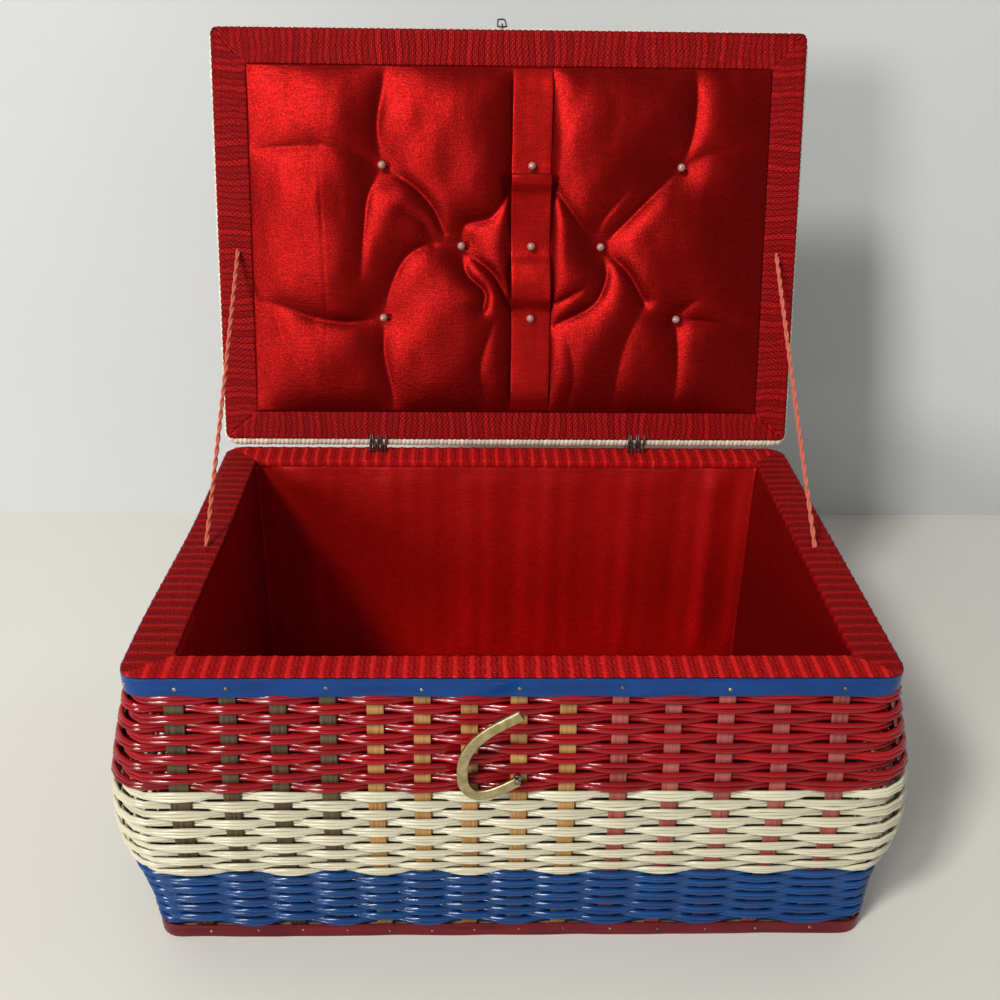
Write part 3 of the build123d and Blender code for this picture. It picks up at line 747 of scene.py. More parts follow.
class Finish(Enum):
    """Every finish of the basket and its ground."""

    BLUE_STRAND = StrandFinish("blue_strand", (0.004, 0.054, 0.205), (0.002, 0.026, 0.11), 0.15)
    CREAM_STRAND = StrandFinish("cream_strand", (0.66, 0.63, 0.47), (0.47, 0.43, 0.29), 0.2)
    RED_STRAND = StrandFinish("red_strand", (0.33, 0.002, 0.006), (0.16, 0.001, 0.003), 0.10)
    BROWN_STAKE = StripFinish("brown_stake", (0.13, 0.095, 0.045), (0.035, 0.02, 0.01))
    AMBER_STAKE = StripFinish("amber_stake", (0.56, 0.31, 0.10), (0.25, 0.115, 0.035))
    ROSE_STAKE = StripFinish("rose_stake", (0.46, 0.12, 0.10), (0.20, 0.035, 0.03))
    RIM_STRIP = StripFinish("rim_strip", (0.002, 0.050, 0.22), (0.001, 0.028, 0.14), (0.02, 1.2), 0.16, 0.05)
    BASE_STRIP = StripFinish(
        "base_strip", (0.16, 0.006, 0.012), (0.07, 0.002, 0.005), (0.02, 1.2), 0.24, 0.06
    )
    SATIN = SatinFinish("satin", (0.30, 0.004, 0.003), (0.16, 0.001, 0.001))
    LINING_SATIN = SatinFinish("lining_satin", (0.60, 0.010, 0.008), (0.36, 0.004, 0.003), 850.0, 0.5, 0.38)
    RIBBON_SATIN = SatinFinish("ribbon_satin", (0.46, 0.008, 0.006), (0.30, 0.003, 0.002), 1200.0)
    # Braid colours: rib, the lighter red of the painted highlight on the crests; ground; the painted shade of
    # the grooves; and the painted glint.
    RIM_BRAID = BraidFinish(
        "rim_braid_yarn", (0.58, 0.009, 0.008), (0.33, 0.0025, 0.003), (0.08, 0.0005, 0.0008)
    )
    LID_BRAID = BraidFinish(
        "lid_braid_yarn", (0.62, 0.012, 0.014), (0.25, 0.002, 0.003), (0.085, 0.0004, 0.0008),
        (0.70, 0.06, 0.055),
    )
    WRAP = StrandFinish("border_wrap", (0.84, 0.79, 0.64), (0.50, 0.42, 0.28), 0.32)
    BRASS = MetalFinish("worn_brass", (0.56, 0.47, 0.25), (0.36, 0.29, 0.14), 0.33)
    NAIL = MetalFinish("nail_brass", (0.46, 0.43, 0.32), (0.12, 0.10, 0.06), 0.28)
    DARK_WIRE = MetalFinish("dark_wire", (0.16, 0.13, 0.11), (0.05, 0.035, 0.03), 0.4, 0.8)
    BLACK_WIRE = MetalFinish("black_wire", (0.05, 0.045, 0.045), (0.015, 0.012, 0.012), 0.38, 0.7)
    PEARL = PearlFinish("pearl_lustre", (0.40, 0.25, 0.215), (0.30, 0.15, 0.125))
    YARN = YarnFinish("coral_yarn", (0.80, 0.17, 0.09), (0.52, 0.07, 0.035))
    WOOD = BoardFinish("plain_wood", (0.58, 0.42, 0.25), (0.33, 0.21, 0.11))
    CARD = BoardFinish("cardboard", (0.47, 0.38, 0.27), (0.33, 0.25, 0.16))
    # Near black: painted shade for the liner seen through the weave's windows.
    DARK_CARD = BoardFinish("painted_shade_cardboard", (0.050, 0.030, 0.024), (0.022, 0.012, 0.010))
    FLOOR = GroundFinish("floor_paper", (0.70, 0.685, 0.63), (0.66, 0.64, 0.59))
    BACKDROP = GroundFinish("wall_paper", (0.62, 0.63, 0.635), (0.585, 0.595, 0.60))

    def made(self) -> bpy.types.Material:
        """The finish's material, made once."""
        return bpy.data.materials.get(self.value.name) or self.value.material()


# ---- The basket -----------------------------------------------------------------------------------
@dataclass(frozen=True)
class StrandBand:
    """One colour of the weave: its courses, and how each course's strands lie."""

    name: str
    node: str
    finish: Finish
    bottom: float
    top: float
    courses: int
    first_course: int
    strands: int
    spread: float
    radius: float
    pinch: float

    def heights(self) -> Array:
        """The middle of each course, evenly spread between bottom and top."""
        return self.bottom + (np.arange(self.courses) + 0.5) * (self.top - self.bottom) / self.courses


@dataclass(frozen=True)
class BasketWeave:
    """The stakes and the strands that pass in front of one stake and behind the next."""

    wall: Wall = Wall()
    swing: float = 1.7
    lift: float = 0.6
    slow_drift: float = 0.22
    fine_drift: float = 0.16
    bulge: float = 0.55
    looseness: float = 1.04
    samples: int = 8
    sides: int = 7
    map_round: float = 960.0
    map_apart: float = 131.0
    stake_width: float = 6.6
    stake_thickness: float = 0.8
    stake_ends: tuple[float, float] = (1.5, 130.0)
    stake_steps: int = 30
    stake_lean: float = 0.25
    stake_map_step: float = 4.4
    stake_map_apart: tuple[float, float] = (57.0, 9.0)
    amber: tuple[float, float] = (-64.0, 30.0)
    bands: tuple[StrandBand, ...] = (
        StrandBand(
            "weave_blue_strands", "weave_blue", Finish.BLUE_STRAND, bottom=6.3, top=41.0, courses=11,
            first_course=0, strands=2, spread=1.95, radius=1.15, pinch=0.66,
        ),
        StrandBand(
            "weave_cream_strands", "weave_white", Finish.CREAM_STRAND, bottom=41.0, top=87.0, courses=11,
            first_course=11, strands=3, spread=1.52, radius=0.78, pinch=0.44,
        ),
        StrandBand(
            "weave_red_strands", "weave_red", Finish.RED_STRAND, bottom=87.0, top=126.6, courses=10,
            first_course=22, strands=2, spread=1.95, radius=1.17, pinch=0.70,
        ),
    )

    def strand(self, band: StrandBand, course: int, rank: int, height: float) -> tuple[Array, Array]:
        """One strand round the basket.

        The way out from the wall's middle is the bow at its height plus swing cos(pi (stake + course)).
        Outside a stake it lies lift higher than the course's middle, and inside lift lower. Beside its
        neighbours it lies at spread times its rank, drawn together to pinch times that between the
        stakes, where the middle strand of three bulges out over the others.

        Args:
            band: The colour that it belongs to.
            course: Its course, counted from the foot.
            rank: Its place in the course, counted from the lowest.
            height: The middle of its course.

        Returns:
            A ring of sections, and how far round the basket each one is.
        """
        stakes = self.wall.stake_count
        number = np.arange(stakes * self.samples) / self.samples - stakes / 2
        point, out = self.wall.at(number)
        phase = np.cos(np.pi * (number + course))
        at_stake, turns, seed = np.abs(phase), number / stakes, 97 * course + 13 * rank
        rise = self.slow_drift * wander(seed, turns, (3, 7, 13, 29))
        rise = rise + self.fine_drift * wander(seed + 5, turns, (25, 51, 77))
        beside = (rank - (band.strands - 1) / 2) * band.spread
        gather = band.pinch + (1 - band.pinch) * at_stake**0.8
        bulge = self.bulge * (1 - at_stake) * (band.strands == 3 and rank == 1)
        reach = self.wall.bow(height + beside) + self.swing * flattened(phase, 0.85)
        reach = reach + bulge + self.fine_drift * wander(seed + 9, turns, (11, 25, 37))
        path = point + reach[:, None] * out
        path[:, 2] = height + beside * gather * self.looseness + self.lift * phase + rise
        tangent = tangents(path, ring=True)
        across = unit(np.cross(tangent, UP))
        section = round_section(band.radius, self.sides)
        return carried(path, across, np.cross(tangent, across), section), turns * self.map_round

    def weave(self, band: StrandBand) -> None:
        """All the strands of one colour, each in its own tone, as one piece."""
        piece = Piece(band.name, out_of_square)
        tones = np.random.default_rng(band.first_course + 3)
        for step, height in enumerate(band.heights()):
            for rank in range(band.strands):
                grid, along = self.strand(band, band.first_course + step, rank, height)
                along = np.append(along, along[0] + self.map_round)
                along = along + self.map_apart * (step * band.strands + rank)
                piece.add(grid, along, ring=True, tone=tones.uniform(0.35, 0.85))
        settle(piece, band.finish, "basket", band.node, band.node)

    def stakes(self, node: str, finish: Finish, numbers: Array) -> None:
        """The upright strips of one tone: a rounded section carried up the bow of the wall."""
        piece = Piece(node + "_strips", out_of_square)
        height = np.linspace(*self.stake_ends, self.stake_steps)
        bow = self.wall.bow(height)
        slope = np.gradient(bow, height)
        section = box_section(self.stake_width, self.stake_thickness)
        along = np.arange(self.stake_steps + 3.0) * self.stake_map_step
        round_it = np.linspace(0, 2 * self.stake_width, len(section[0]) + 1)
        most, (shift, turn) = self.stake_lean, self.stake_map_apart
        leans = np.random.default_rng(len(numbers)).uniform(-most, most, len(numbers))
        for number, lean in zip(numbers, leans):
            point, out = self.wall.at(np.array([number]))
            side = np.cross(UP, out[0])
            path = point + bow[:, None] * out + (lean * np.sin(height / 40))[:, None] * side
            path[:, 2] = height
            grid = capped(carried(path, side, unit(out[0] - slope[:, None] * UP), section))
            piece.add(grid, along + shift * number, round_it + turn * number)
        settle(piece, finish, "basket", node, node)

    def make(self) -> None:
        """Makes the strands, and the stakes in three tones from left to right."""
        for band in self.bands:
            self.weave(band)
        numbers = np.arange(self.wall.stake_count) - self.wall.stake_count // 2
        tone = np.digitize(self.wall.at(numbers)[0][:, 0], self.amber)
        for place, color in enumerate(("brown", "amber", "rose")):
            self.stakes("stakes_" + color, Finish[color.upper() + "_STAKE"], numbers[tone == place])


@dataclass(frozen=True)
class BasketTrim:
    """The strips round rim and foot, and their nails."""

    wall: Wall = Wall()
    rim: tuple[float, float] = (126.7, 134.9)
    foot: tuple[float, float] = (0.0, 6.5)
    thickness: float = 1.0
    steps: int = 420
    sides: int = 20
    edge_wave: float = 0.28
    edge_ripple: float = 0.12
    face_ripple: float = 0.18
    nail_height: float = 130.6
    nail_radius: float = 0.85
    tack_height: float = 3.4
    tack_radius: float = 0.6
    tack_beside_stake: float = 0.12
    head_lift: float = 0.05
    head_scatter: float = 0.5
    dome: tuple[tuple[float, float], ...] = (
        (0.5, -0.6), (0.98, -0.25), (1, 0.05), (0.86, 0.3), (0.5, 0.46), (0, 0.5),
    )
    front_nails: tuple[float, ...] = (-7.85, -6.92, -5.97, -4, -2, 0, 2, 4, 6)

    def strip(self, node: str, finish: Finish, bottom: float, top: float) -> None:
        """A strip round the wall: a rounded section of the strip's height whose lower edge waves a little."""
        plan = self.wall.plan(self.thickness / 2)
        turns, path, out = plan.ring(self.steps, 0.5)
        across, thick = box_section(top - bottom, self.thickness, self.sides, 0.3)
        wave = self.edge_wave * wander(4, turns, (25, 13, 7)) + self.edge_ripple * wander(8, turns, (50, 31))
        lower = np.clip(-across / (top - bottom) + 0.5, 0, 1)
        ripple = (self.face_ripple * wander(6, turns, (25, 50, 12)))[:, None] * (0.2 + lower)
        grid = path[:, None, :] + (thick + ripple)[..., None] * out[:, None, :]
        grid[..., 2] = (bottom + top) / 2 + across + wave[:, None] * lower
        piece = Piece(node + "_strip", out_of_square)
        round_it = np.linspace(0, 2 * (top - bottom), self.sides + 1)
        piece.add(grid, np.append(turns, 1.0) * plan.length, round_it, ring=True)
        settle(piece, finish, "basket", node, node)

    def heads(self, name: str, numbers: list[float], height: float, radius: float) -> None:
        """Nail heads: a low dome whose edge is turned over, at every given stake."""
        piece = Piece(name, out_of_square)
        for number in numbers:
            point, out = self.wall.plan(-self.head_lift).at(self.wall.walked(np.array([number])))
            point[0, 2] = height + self.head_scatter * math.sin(7.3 * number)
            piece.add(turned(point[0], out[0], np.array(self.dome) * radius, 12))
        settle(piece, Finish.NAIL, "basket", "hook")

    def make(self) -> None:
        """Makes both strips, the rim's nails and the foot's tacks."""
        self.strip("rim_band", Finish.RIM_STRIP, *self.rim)
        self.strip("base_band", Finish.BASE_STRIP, *self.foot)
        nails = [*self.front_nails, *np.arange(8.0, 43.0, 2.0)]
        self.heads("rim_nails", nails, self.nail_height, self.nail_radius)
        half = self.wall.stake_count // 2
        tacks = [number + self.tack_beside_stake for number in range(-half, half)]
        self.heads("base_tacks", tacks, self.tack_height, self.tack_radius)


class BraidKind(Enum):
    """How a braid is worked."""

    LADDERED = "ribs with ladders of threads between them"
    DASHED = "crosswise rows of short threads in groups of three"


@dataclass(frozen=True)
class Braid:
    """A mitred frame of ribbed braid, in a frame of its own: across, along and height."""

    outer: RoundedPlan
    inner: RoundedPlan
    base: float
    thickness: float
    kind: BraidKind = BraidKind.LADDERED
    turn_down: float = 0.0
    repeat: float = 6.3
    rib_share: float = 0.30
    step: float = 0.66
    columns: int = 50
    thread_pitch: float = 1.15
    # Painted shade for the left and right strips; 1 leaves them unshaded.
    side_shade: float = 1.0
    mitre_depth: float = 0.55
    mitre_width: float = 0.8
    rib_reach: float = 0.42
    map_width: float = 15.0
    bent: Callable[[Array], Array] | None = None

    def corners(self, plan: RoundedPlan) -> Array:
        """How far round the middle of each corner is, and of the first one again."""
        a, b, arc = plan.half_width - plan.radius, plan.half_depth - plan.radius, math.pi * plan.radius / 2
        return a + arc / 2 + np.cumsum([0, 2 * b + arc, 2 * a + arc, 2 * b + arc, 2 * a + arc])

    def dashes(self, along: Array, across: Array) -> tuple[Array, Array]:
        """Rows of short threads, in groups of three with a groove between.

        A row is a half sine along the braid times one across it, set off by half a thread from its
        neighbours. A product of two slanting sines makes single threads slack.

        Args:
            along: Distance along the braid.
            across: Distance from its outer edge.

        Returns:
            How high each place stands, and how far it is from a groove, both from 0 to 1.
        """
        along = along + 0.45 * np.sin(across / 4.1 + along / 11) + 0.5 * np.sin(along / 17)
        group, row = self.repeat / 2, self.repeat / 6
        part = np.mod(along / group, 1.0)
        groove = eased((np.minimum(part, 1 - part) * group + 0.1) / 0.75)
        dash = ridged(across / 2.3 + 0.5 * np.floor(along / row) + 0.3 * np.sin(across / 3.1)) ** 0.8
        tone = 0.72 + 0.28 * np.sin(2.9 * np.floor(along / group)) * np.sin(0.37 * along)
        slack = 0.22 * np.sin(2.1 * along + 1.7 * across) * np.sin(0.53 * along - 1.1 * across)
        thread = (0.95 * tone + slack) * ridged(along / row) ** 0.9 * dash
        return np.clip(groove * (0.1 + thread), 0, 1), groove

    def ladders(self, along: Array, across: Array) -> tuple[Array, Array]:
        """A rib across the braid to each repeat, and two ladders of short threads beside it.

        The rib is knotted like a chain by a half sine across the braid. A ladder's threads are a half
        sine along the braid times one across it. A product of two slanting sines makes some slack.

        Args:
            along: Distance along the braid.
            across: Distance from its outer edge.

        Returns:
            How high each place stands, and how much of it is rib, both from 0 to 1.
        """
        part = np.mod(along / self.repeat, 1.0)
        off_rib = np.abs(np.mod(part - 0.5 * self.rib_share + 0.5, 1.0) - 0.5)
        rib = eased((self.rib_share / 2 + 0.04 - off_rib) / 0.08)
        knots = ridged(across / 1.9 + 0.35 * np.sin(np.pi * (part / self.rib_share - 0.5)))
        inside = (part - self.rib_share) / (1 - self.rib_share) * 2
        threads = ridged(inside) ** 0.45 * ridged(across / self.thread_pitch) ** 0.7
        slack = 0.20 * np.sin(2.3 * along + 3.1 * across) * np.sin(0.9 * along - 1.9 * across)
        return np.clip((1 - rib) * 0.62 * threads + rib * (0.62 + 0.38 * knots**0.6) + slack, 0, 1), rib

    def walk(self) -> tuple[Array, Array, Array]:
        """Goes round the frame in steps, side by side.

        Returns:
            The points on the outer and the inner edge, the side each is on, and how far its mitre is.
        """
        outer, inner = self.corners(self.outer), self.corners(self.inner)
        ends, sides, fold = [], [], []
        for side in range(4):
            length = outer[side + 1] - outer[side]
            share = np.arange(int(length / self.step)) / int(length / self.step)
            edge, _ = self.outer.at(outer[side] + share * length)
            inside, _ = self.inner.at(inner[side] + share * (inner[side + 1] - inner[side]))
            ends.append(np.stack([edge, inside], axis=1))
            sides.append(np.full(len(share), side))
            fold.append(np.minimum(share, 1 - share) * length)
        return np.concatenate(ends), np.concatenate(sides), np.concatenate(fold)

    def piece(self, name: str) -> Piece:
        """The closed frame: a ring of sections that go over the braid, down its turned edge and under it.

        The height over the base is thickness (0.12 + 0.24 crown + 0.64 relief (0.35 + 0.65 crown)),
        where the crown is 0 at both edges, and it sinks along the mitres.
        """
        ends, side, fold = self.walk()
        upright = (side % 2 == 1)[:, None]
        drop = np.array([0.25, 0.6, 0.95]) * self.turn_down if self.turn_down else np.array([])
        under = [0.9, 0.5, 0.1]
        share = np.concatenate([np.linspace(0, 1, self.columns), np.ones(2 * drop.size), under])
        face = slice(self.columns, self.columns + drop.size)
        lap = slice(face.stop, face.stop + drop.size)
        grid = ends[:, :1] + share[None, :, None] * (ends[:, 1:] - ends[:, :1])
        across = share[None, :] * np.linalg.norm(ends[:, 1] - ends[:, 0], axis=1)[:, None]
        pattern = self.ladders if self.kind is BraidKind.LADDERED else self.dashes
        relief, rib = pattern(np.where(upright, grid[..., 0], grid[..., 1]), across)
        relief[:, face.start : lap.stop] = 0.4 + 0.35 * rib[:, face.start : lap.stop]
        crown = np.sin(np.pi * np.clip(share, 0, 1)) ** 0.3
        height = self.base + self.thickness * (0.12 + 0.24 * crown + 0.64 * relief * (0.35 + 0.65 * crown))
        height -= self.mitre_depth * self.thickness * hump(fold[:, None], self.mitre_width) * crown
        inward = unit(ends[:, 1] - ends[:, 0])[:, None]
        edge = np.zeros(len(share))
        edge[:2] = -1.0, -0.5
        if drop.size:
            height[:, face] = self.base + self.thickness * 0.5 - drop
            height[:, lap] = self.base - drop[::-1]
            grid[:, face] += inward * 0.25 * relief[:, face, None]
            grid[:, lap] -= inward * self.thickness * 0.8
        else:
            edge[self.columns - 2 : self.columns] = 0.5, 1.0
        height[:, -len(under) :] = self.base
        grid = grid + inward * (self.rib_reach * (rib - 0.4) * edge)[..., None]
        grid[..., 2] = height
        # Painted shade: the left and right strips get the side factor, front and back 1, and the finish mixes
        # their colour towards its painted shade colour.
        shade = np.where(upright, 1.0, self.side_shade) * np.ones(len(share))
        made = Piece(name, self.bent)
        along = np.arange(1.0, len(grid) + 2) * self.step
        along[-1] = along[-2]
        round_it = np.append(share * self.map_width, 0)
        made.add(grid, along, round_it, ring=True, relief=relief, shade=shade)
        return made


@dataclass(frozen=True)
class BasketInside:
    """The satin lining, the bottom pad and the braid over the rim."""

    lining_outer: RoundedPlan = RoundedPlan(136.4, 92.9, 2.0, -1.5)
    lining_inner: RoundedPlan = RoundedPlan(132.3, 88.8, 2.0, -1.5)
    lining_bottom: float = 7.6
    lining_top: float = 134.0
    lining_back: tuple[float, float, float] = (134.9, 70.0, 7.2)
    lining_steps: tuple[int, int] = (900, 30)
    pad: RoundedPlan = RoundedPlan(132.0, 88.5, 3.0, -1.5)
    pad_bottom: float = 7.3
    pad_bulge_height: float = 8.6
    pad_top: float = 10.4
    pad_crown: float = 1.8
    pad_crease: float = 0.6
    braid_outer: RoundedPlan = RoundedPlan(148.0, 103.0, 8.5)
    braid_inner: RoundedPlan = RoundedPlan(130.9, 87.4, 1.5, -1.5)
    back_folds: tuple[tuple[float, float, float], ...] = (
        (-112, 9, 0.9), (-84, 11, -1.0), (-58, 13, 1.2), (-30, 8, -0.7), (-8, 9, 1.0), (4, 4, -0.8),
        (26, 13, 0.8), (46, 7, -0.8), (70, 13, 1.0), (92, 7, -0.9), (111, 6, 2.0), (122, 4, -1.0),
    )

    def lining(self) -> None:
        """The gathered lining: a thin wall round the box whose inner face carries upright folds.

        The section is a tall rectangle. Its inner side moves in by the folds, each a bell of its
        own width, and by a slow wander, both fading towards the top and the bottom.
        """
        steps, rows = self.lining_steps
        turns, outside, _ = self.lining_outer.ring(steps)
        _, inside, way = self.lining_inner.ring(steps)
        height = np.linspace(self.lining_bottom, self.lining_top, rows)
        fade = eased((height - 7) / 25) * eased((134.5 - height) / 14)
        fold = 0.35 * wander(3, turns, (17, 29, 41)) + 0.25 * wander(8, turns, (61, 83))
        rear = way[:, 1] > 0.7
        for place, width, rise in self.back_folds:
            fold = fold + rear * rise * hump(inside[:, 0] - place, width) * 0.8
        slant = 0.22 * np.sin(height / 17 + 40 * turns[:, None]) * np.sin(62 * turns[:, None])
        puff = (0.9 + fold[:, None] + slant) * fade
        face = inside[:, None, :] - puff[..., None] * way[:, None, :]
        face[..., 2] = height
        back = np.repeat(outside[:, None, :], len(self.lining_back), axis=1)
        back[..., 2] = self.lining_back
        # Painted shade on the side walls: 0.85 on the right wall and 0.5 on the left darken the satin there.
        shade = 0.85 * eased(way[:, 0] * 2 - 0.6) + 0.5 * eased(-way[:, 0] * 2 - 0.6)
        piece, along = Piece("lining_satin"), np.append(turns, 1) * self.lining_inner.length
        grid = np.concatenate([face, back], axis=1)
        piece.add(grid, along, np.arange(grid.shape[1] + 1.0) * 4, ring=True, shade=shade[:, None])
        settle(piece, Finish.LINING_SATIN, "basket", "lining", "lining")

    def bottom_pad(self) -> None:
        """The bottom pad: rings from a rounded edge to the middle, crowned by 1 - share^6, top and bottom."""
        _, edge, _ = self.pad.ring(360)
        middle = np.array([0, self.pad.middle_y, 0.0])
        share = np.linspace(1, 0.0, 26)[:, None]
        top = middle + share[..., None] * (edge - middle)
        crease = 0.5 * np.sin(top[..., 0] / 21 + np.sin(top[..., 1] / 30)) * np.cos(top[..., 1] / 26)
        crown = self.pad_crown * (1 - share**6)
        top[..., 2] = self.pad_top + crown + crease * (1 - share**2) * self.pad_crease
        low = middle + np.array([0.0, 0.5, 0.94, 1.0])[:, None, None] * (edge - middle)
        low[..., 2] = self.pad_bottom
        low[-1, :, 2] = self.pad_bulge_height
        piece = Piece("bottom_pad_satin")
        piece.add(np.concatenate([low, top]))
        settle(piece, Finish.LINING_SATIN, "basket", "bottom_pad", "bottom_pad")

    def make(self) -> None:
        """Makes the lining, the pad and the rim's braid, and finishes the plain parts kept from the frame."""
        self.lining()
        self.bottom_pad()
        # The rim braid's left and right strips get painted shade, 0.45.
        braid = Braid(
            self.braid_outer, self.braid_inner, base=135.05, thickness=1.15, turn_down=3.6, side_shade=0.45,
            bent=out_of_square,
        )
        settle(braid.piece("rim_braid_ribs"), Finish.RIM_BRAID, "basket", "rim_braid", "rim_braid")
        refinish("base_board", Finish.WOOD)
        refinish("rim_hoop", Finish.WOOD)
        # The liner is made near black as painted shade behind the weave.
        refinish("liner", Finish.DARK_CARD)


def refinish(node: str, finish: Finish) -> None:
    """Gives a part kept from the frame a finish of its own."""
    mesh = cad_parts[node].data
    mesh.materials.clear()
    mesh.materials.append(finish.made())
    LOG.info("%s: kept, finished as %s", node, finish.value.name)


@dataclass(frozen=True)
class Hook:
    """The flat brass hook, bent in the plane of the front, with its rivet and washer."""

    middle_y: float = -114.87
    width: float = 4.3
    thickness: float = 1.9
    squareness: float = 0.42
    end_share: float = 0.25
    steps: int = 90
    bends: tuple[tuple[float, float], ...] = (
        (-0.5, 95.4), (-6.0, 92.0), (-11.8, 89.4), (-17.0, 89.1), (-20.7, 92.9), (-21.7, 99.4),
        (-21.0, 106.0), (-17.6, 113.0), (-11.6, 119.1), (-5.0, 123.6), (0.4, 126.9),
    )
    rivet: tuple[float, float] = (-0.5, 95.45)
    head_y: float = -115.9
    head: tuple[tuple[float, float], ...] = (
        (0.7, -0.9), (1.2, -0.6), (1.25, -0.2), (1.0, 0.1), (0.5, 0.22), (0, 0.25),
    )
    spacer_y: float = -112.8
    spacer: tuple[tuple[float, float], ...] = (
        (0, -0.9), (1.3, -0.9), (1.45, -0.7), (1.45, 0.7), (1.3, 0.9), (0, 0.9),
    )

    def button(self, name: str, node: str, y: float, profile: tuple[tuple[float, float], ...]) -> None:
        """A turned piece on the rivet's axis."""
        piece = Piece(name)
        middle = np.array([self.rivet[0], y, self.rivet[1]])
        piece.add(turned(middle, np.array([0, -1.0, 0]), np.array(profile), 18))
        settle(piece, Finish.NAIL, "basket", "hook", node)

    def make(self) -> None:
        """Carries a rounded flat section, drawn in at both ends, along a smooth line through the bends."""
        line = line_through(np.array(self.bends), self.steps)
        path = np.stack([line[:, 0], np.full(self.steps, self.middle_y), line[:, 1]], axis=1)
        across = np.cross(tangents(path), [0, 1.0, 0])
        section = box_section(self.width, self.thickness, 20, self.squareness)
        grid = carried(path, across, np.array([0, -1.0, 0]), section)
        kept = self.end_share
        first, last = (
            row * kept + row.mean(axis=1, keepdims=True) * (1 - kept) for row in (grid[:1], grid[-1:])
        )
        piece = Piece("hook_strip")
        piece.add(capped(np.concatenate([first, grid, last])))
        settle(piece, Finish.BRASS, "hook", "hook", "hook")
        self.button("hook_rivet_head", "hook_rivet", self.head_y, self.head)
        self.button("hook_spacer", "hook_washer", self.spacer_y, self.spacer)


# ---- The lid --------------------------------------------------------------------------------------
@dataclass(frozen=True)
class HingeLashing:
    """A lashing of fine dark wire round the lid's border and through the rim."""

    lid: LidFrame
    offset: float = 68.2
    pitch: float = 2.0
    turns: int = 5
    radius: float = 0.55
    reach: float = 4.45
    low: float = 130.6
    corner_radius: float = 4.3
    askew: float = 0.08

    def make(self) -> None:
        """Each turn is a ring with round ends in the plane across the hinge, a little askew."""
        high = self.lid.hinge_z + self.reach
        _, place, _ = RoundedPlan(self.reach, (high - self.low) / 2, self.corner_radius).ring(56)
        for side, node in ((-1, "hinge_left"), (1, "hinge_right")):
            piece = Piece(node + "_lashing")
            for turn in range(self.turns):
                middle = side * self.offset + (turn - (self.turns - 1) / 2) * self.pitch
                x = middle + self.askew * place[:, 1] * (-1) ** turn
                y, z = self.lid.hinge_y + place[:, 0], (high + self.low) / 2 + place[:, 1]
                piece.add(wire(np.stack([x, y, z], axis=1), self.radius, 8, ring=True), ring=True)
            settle(piece, Finish.DARK_WIRE, "basket", "hinge_wire", node)


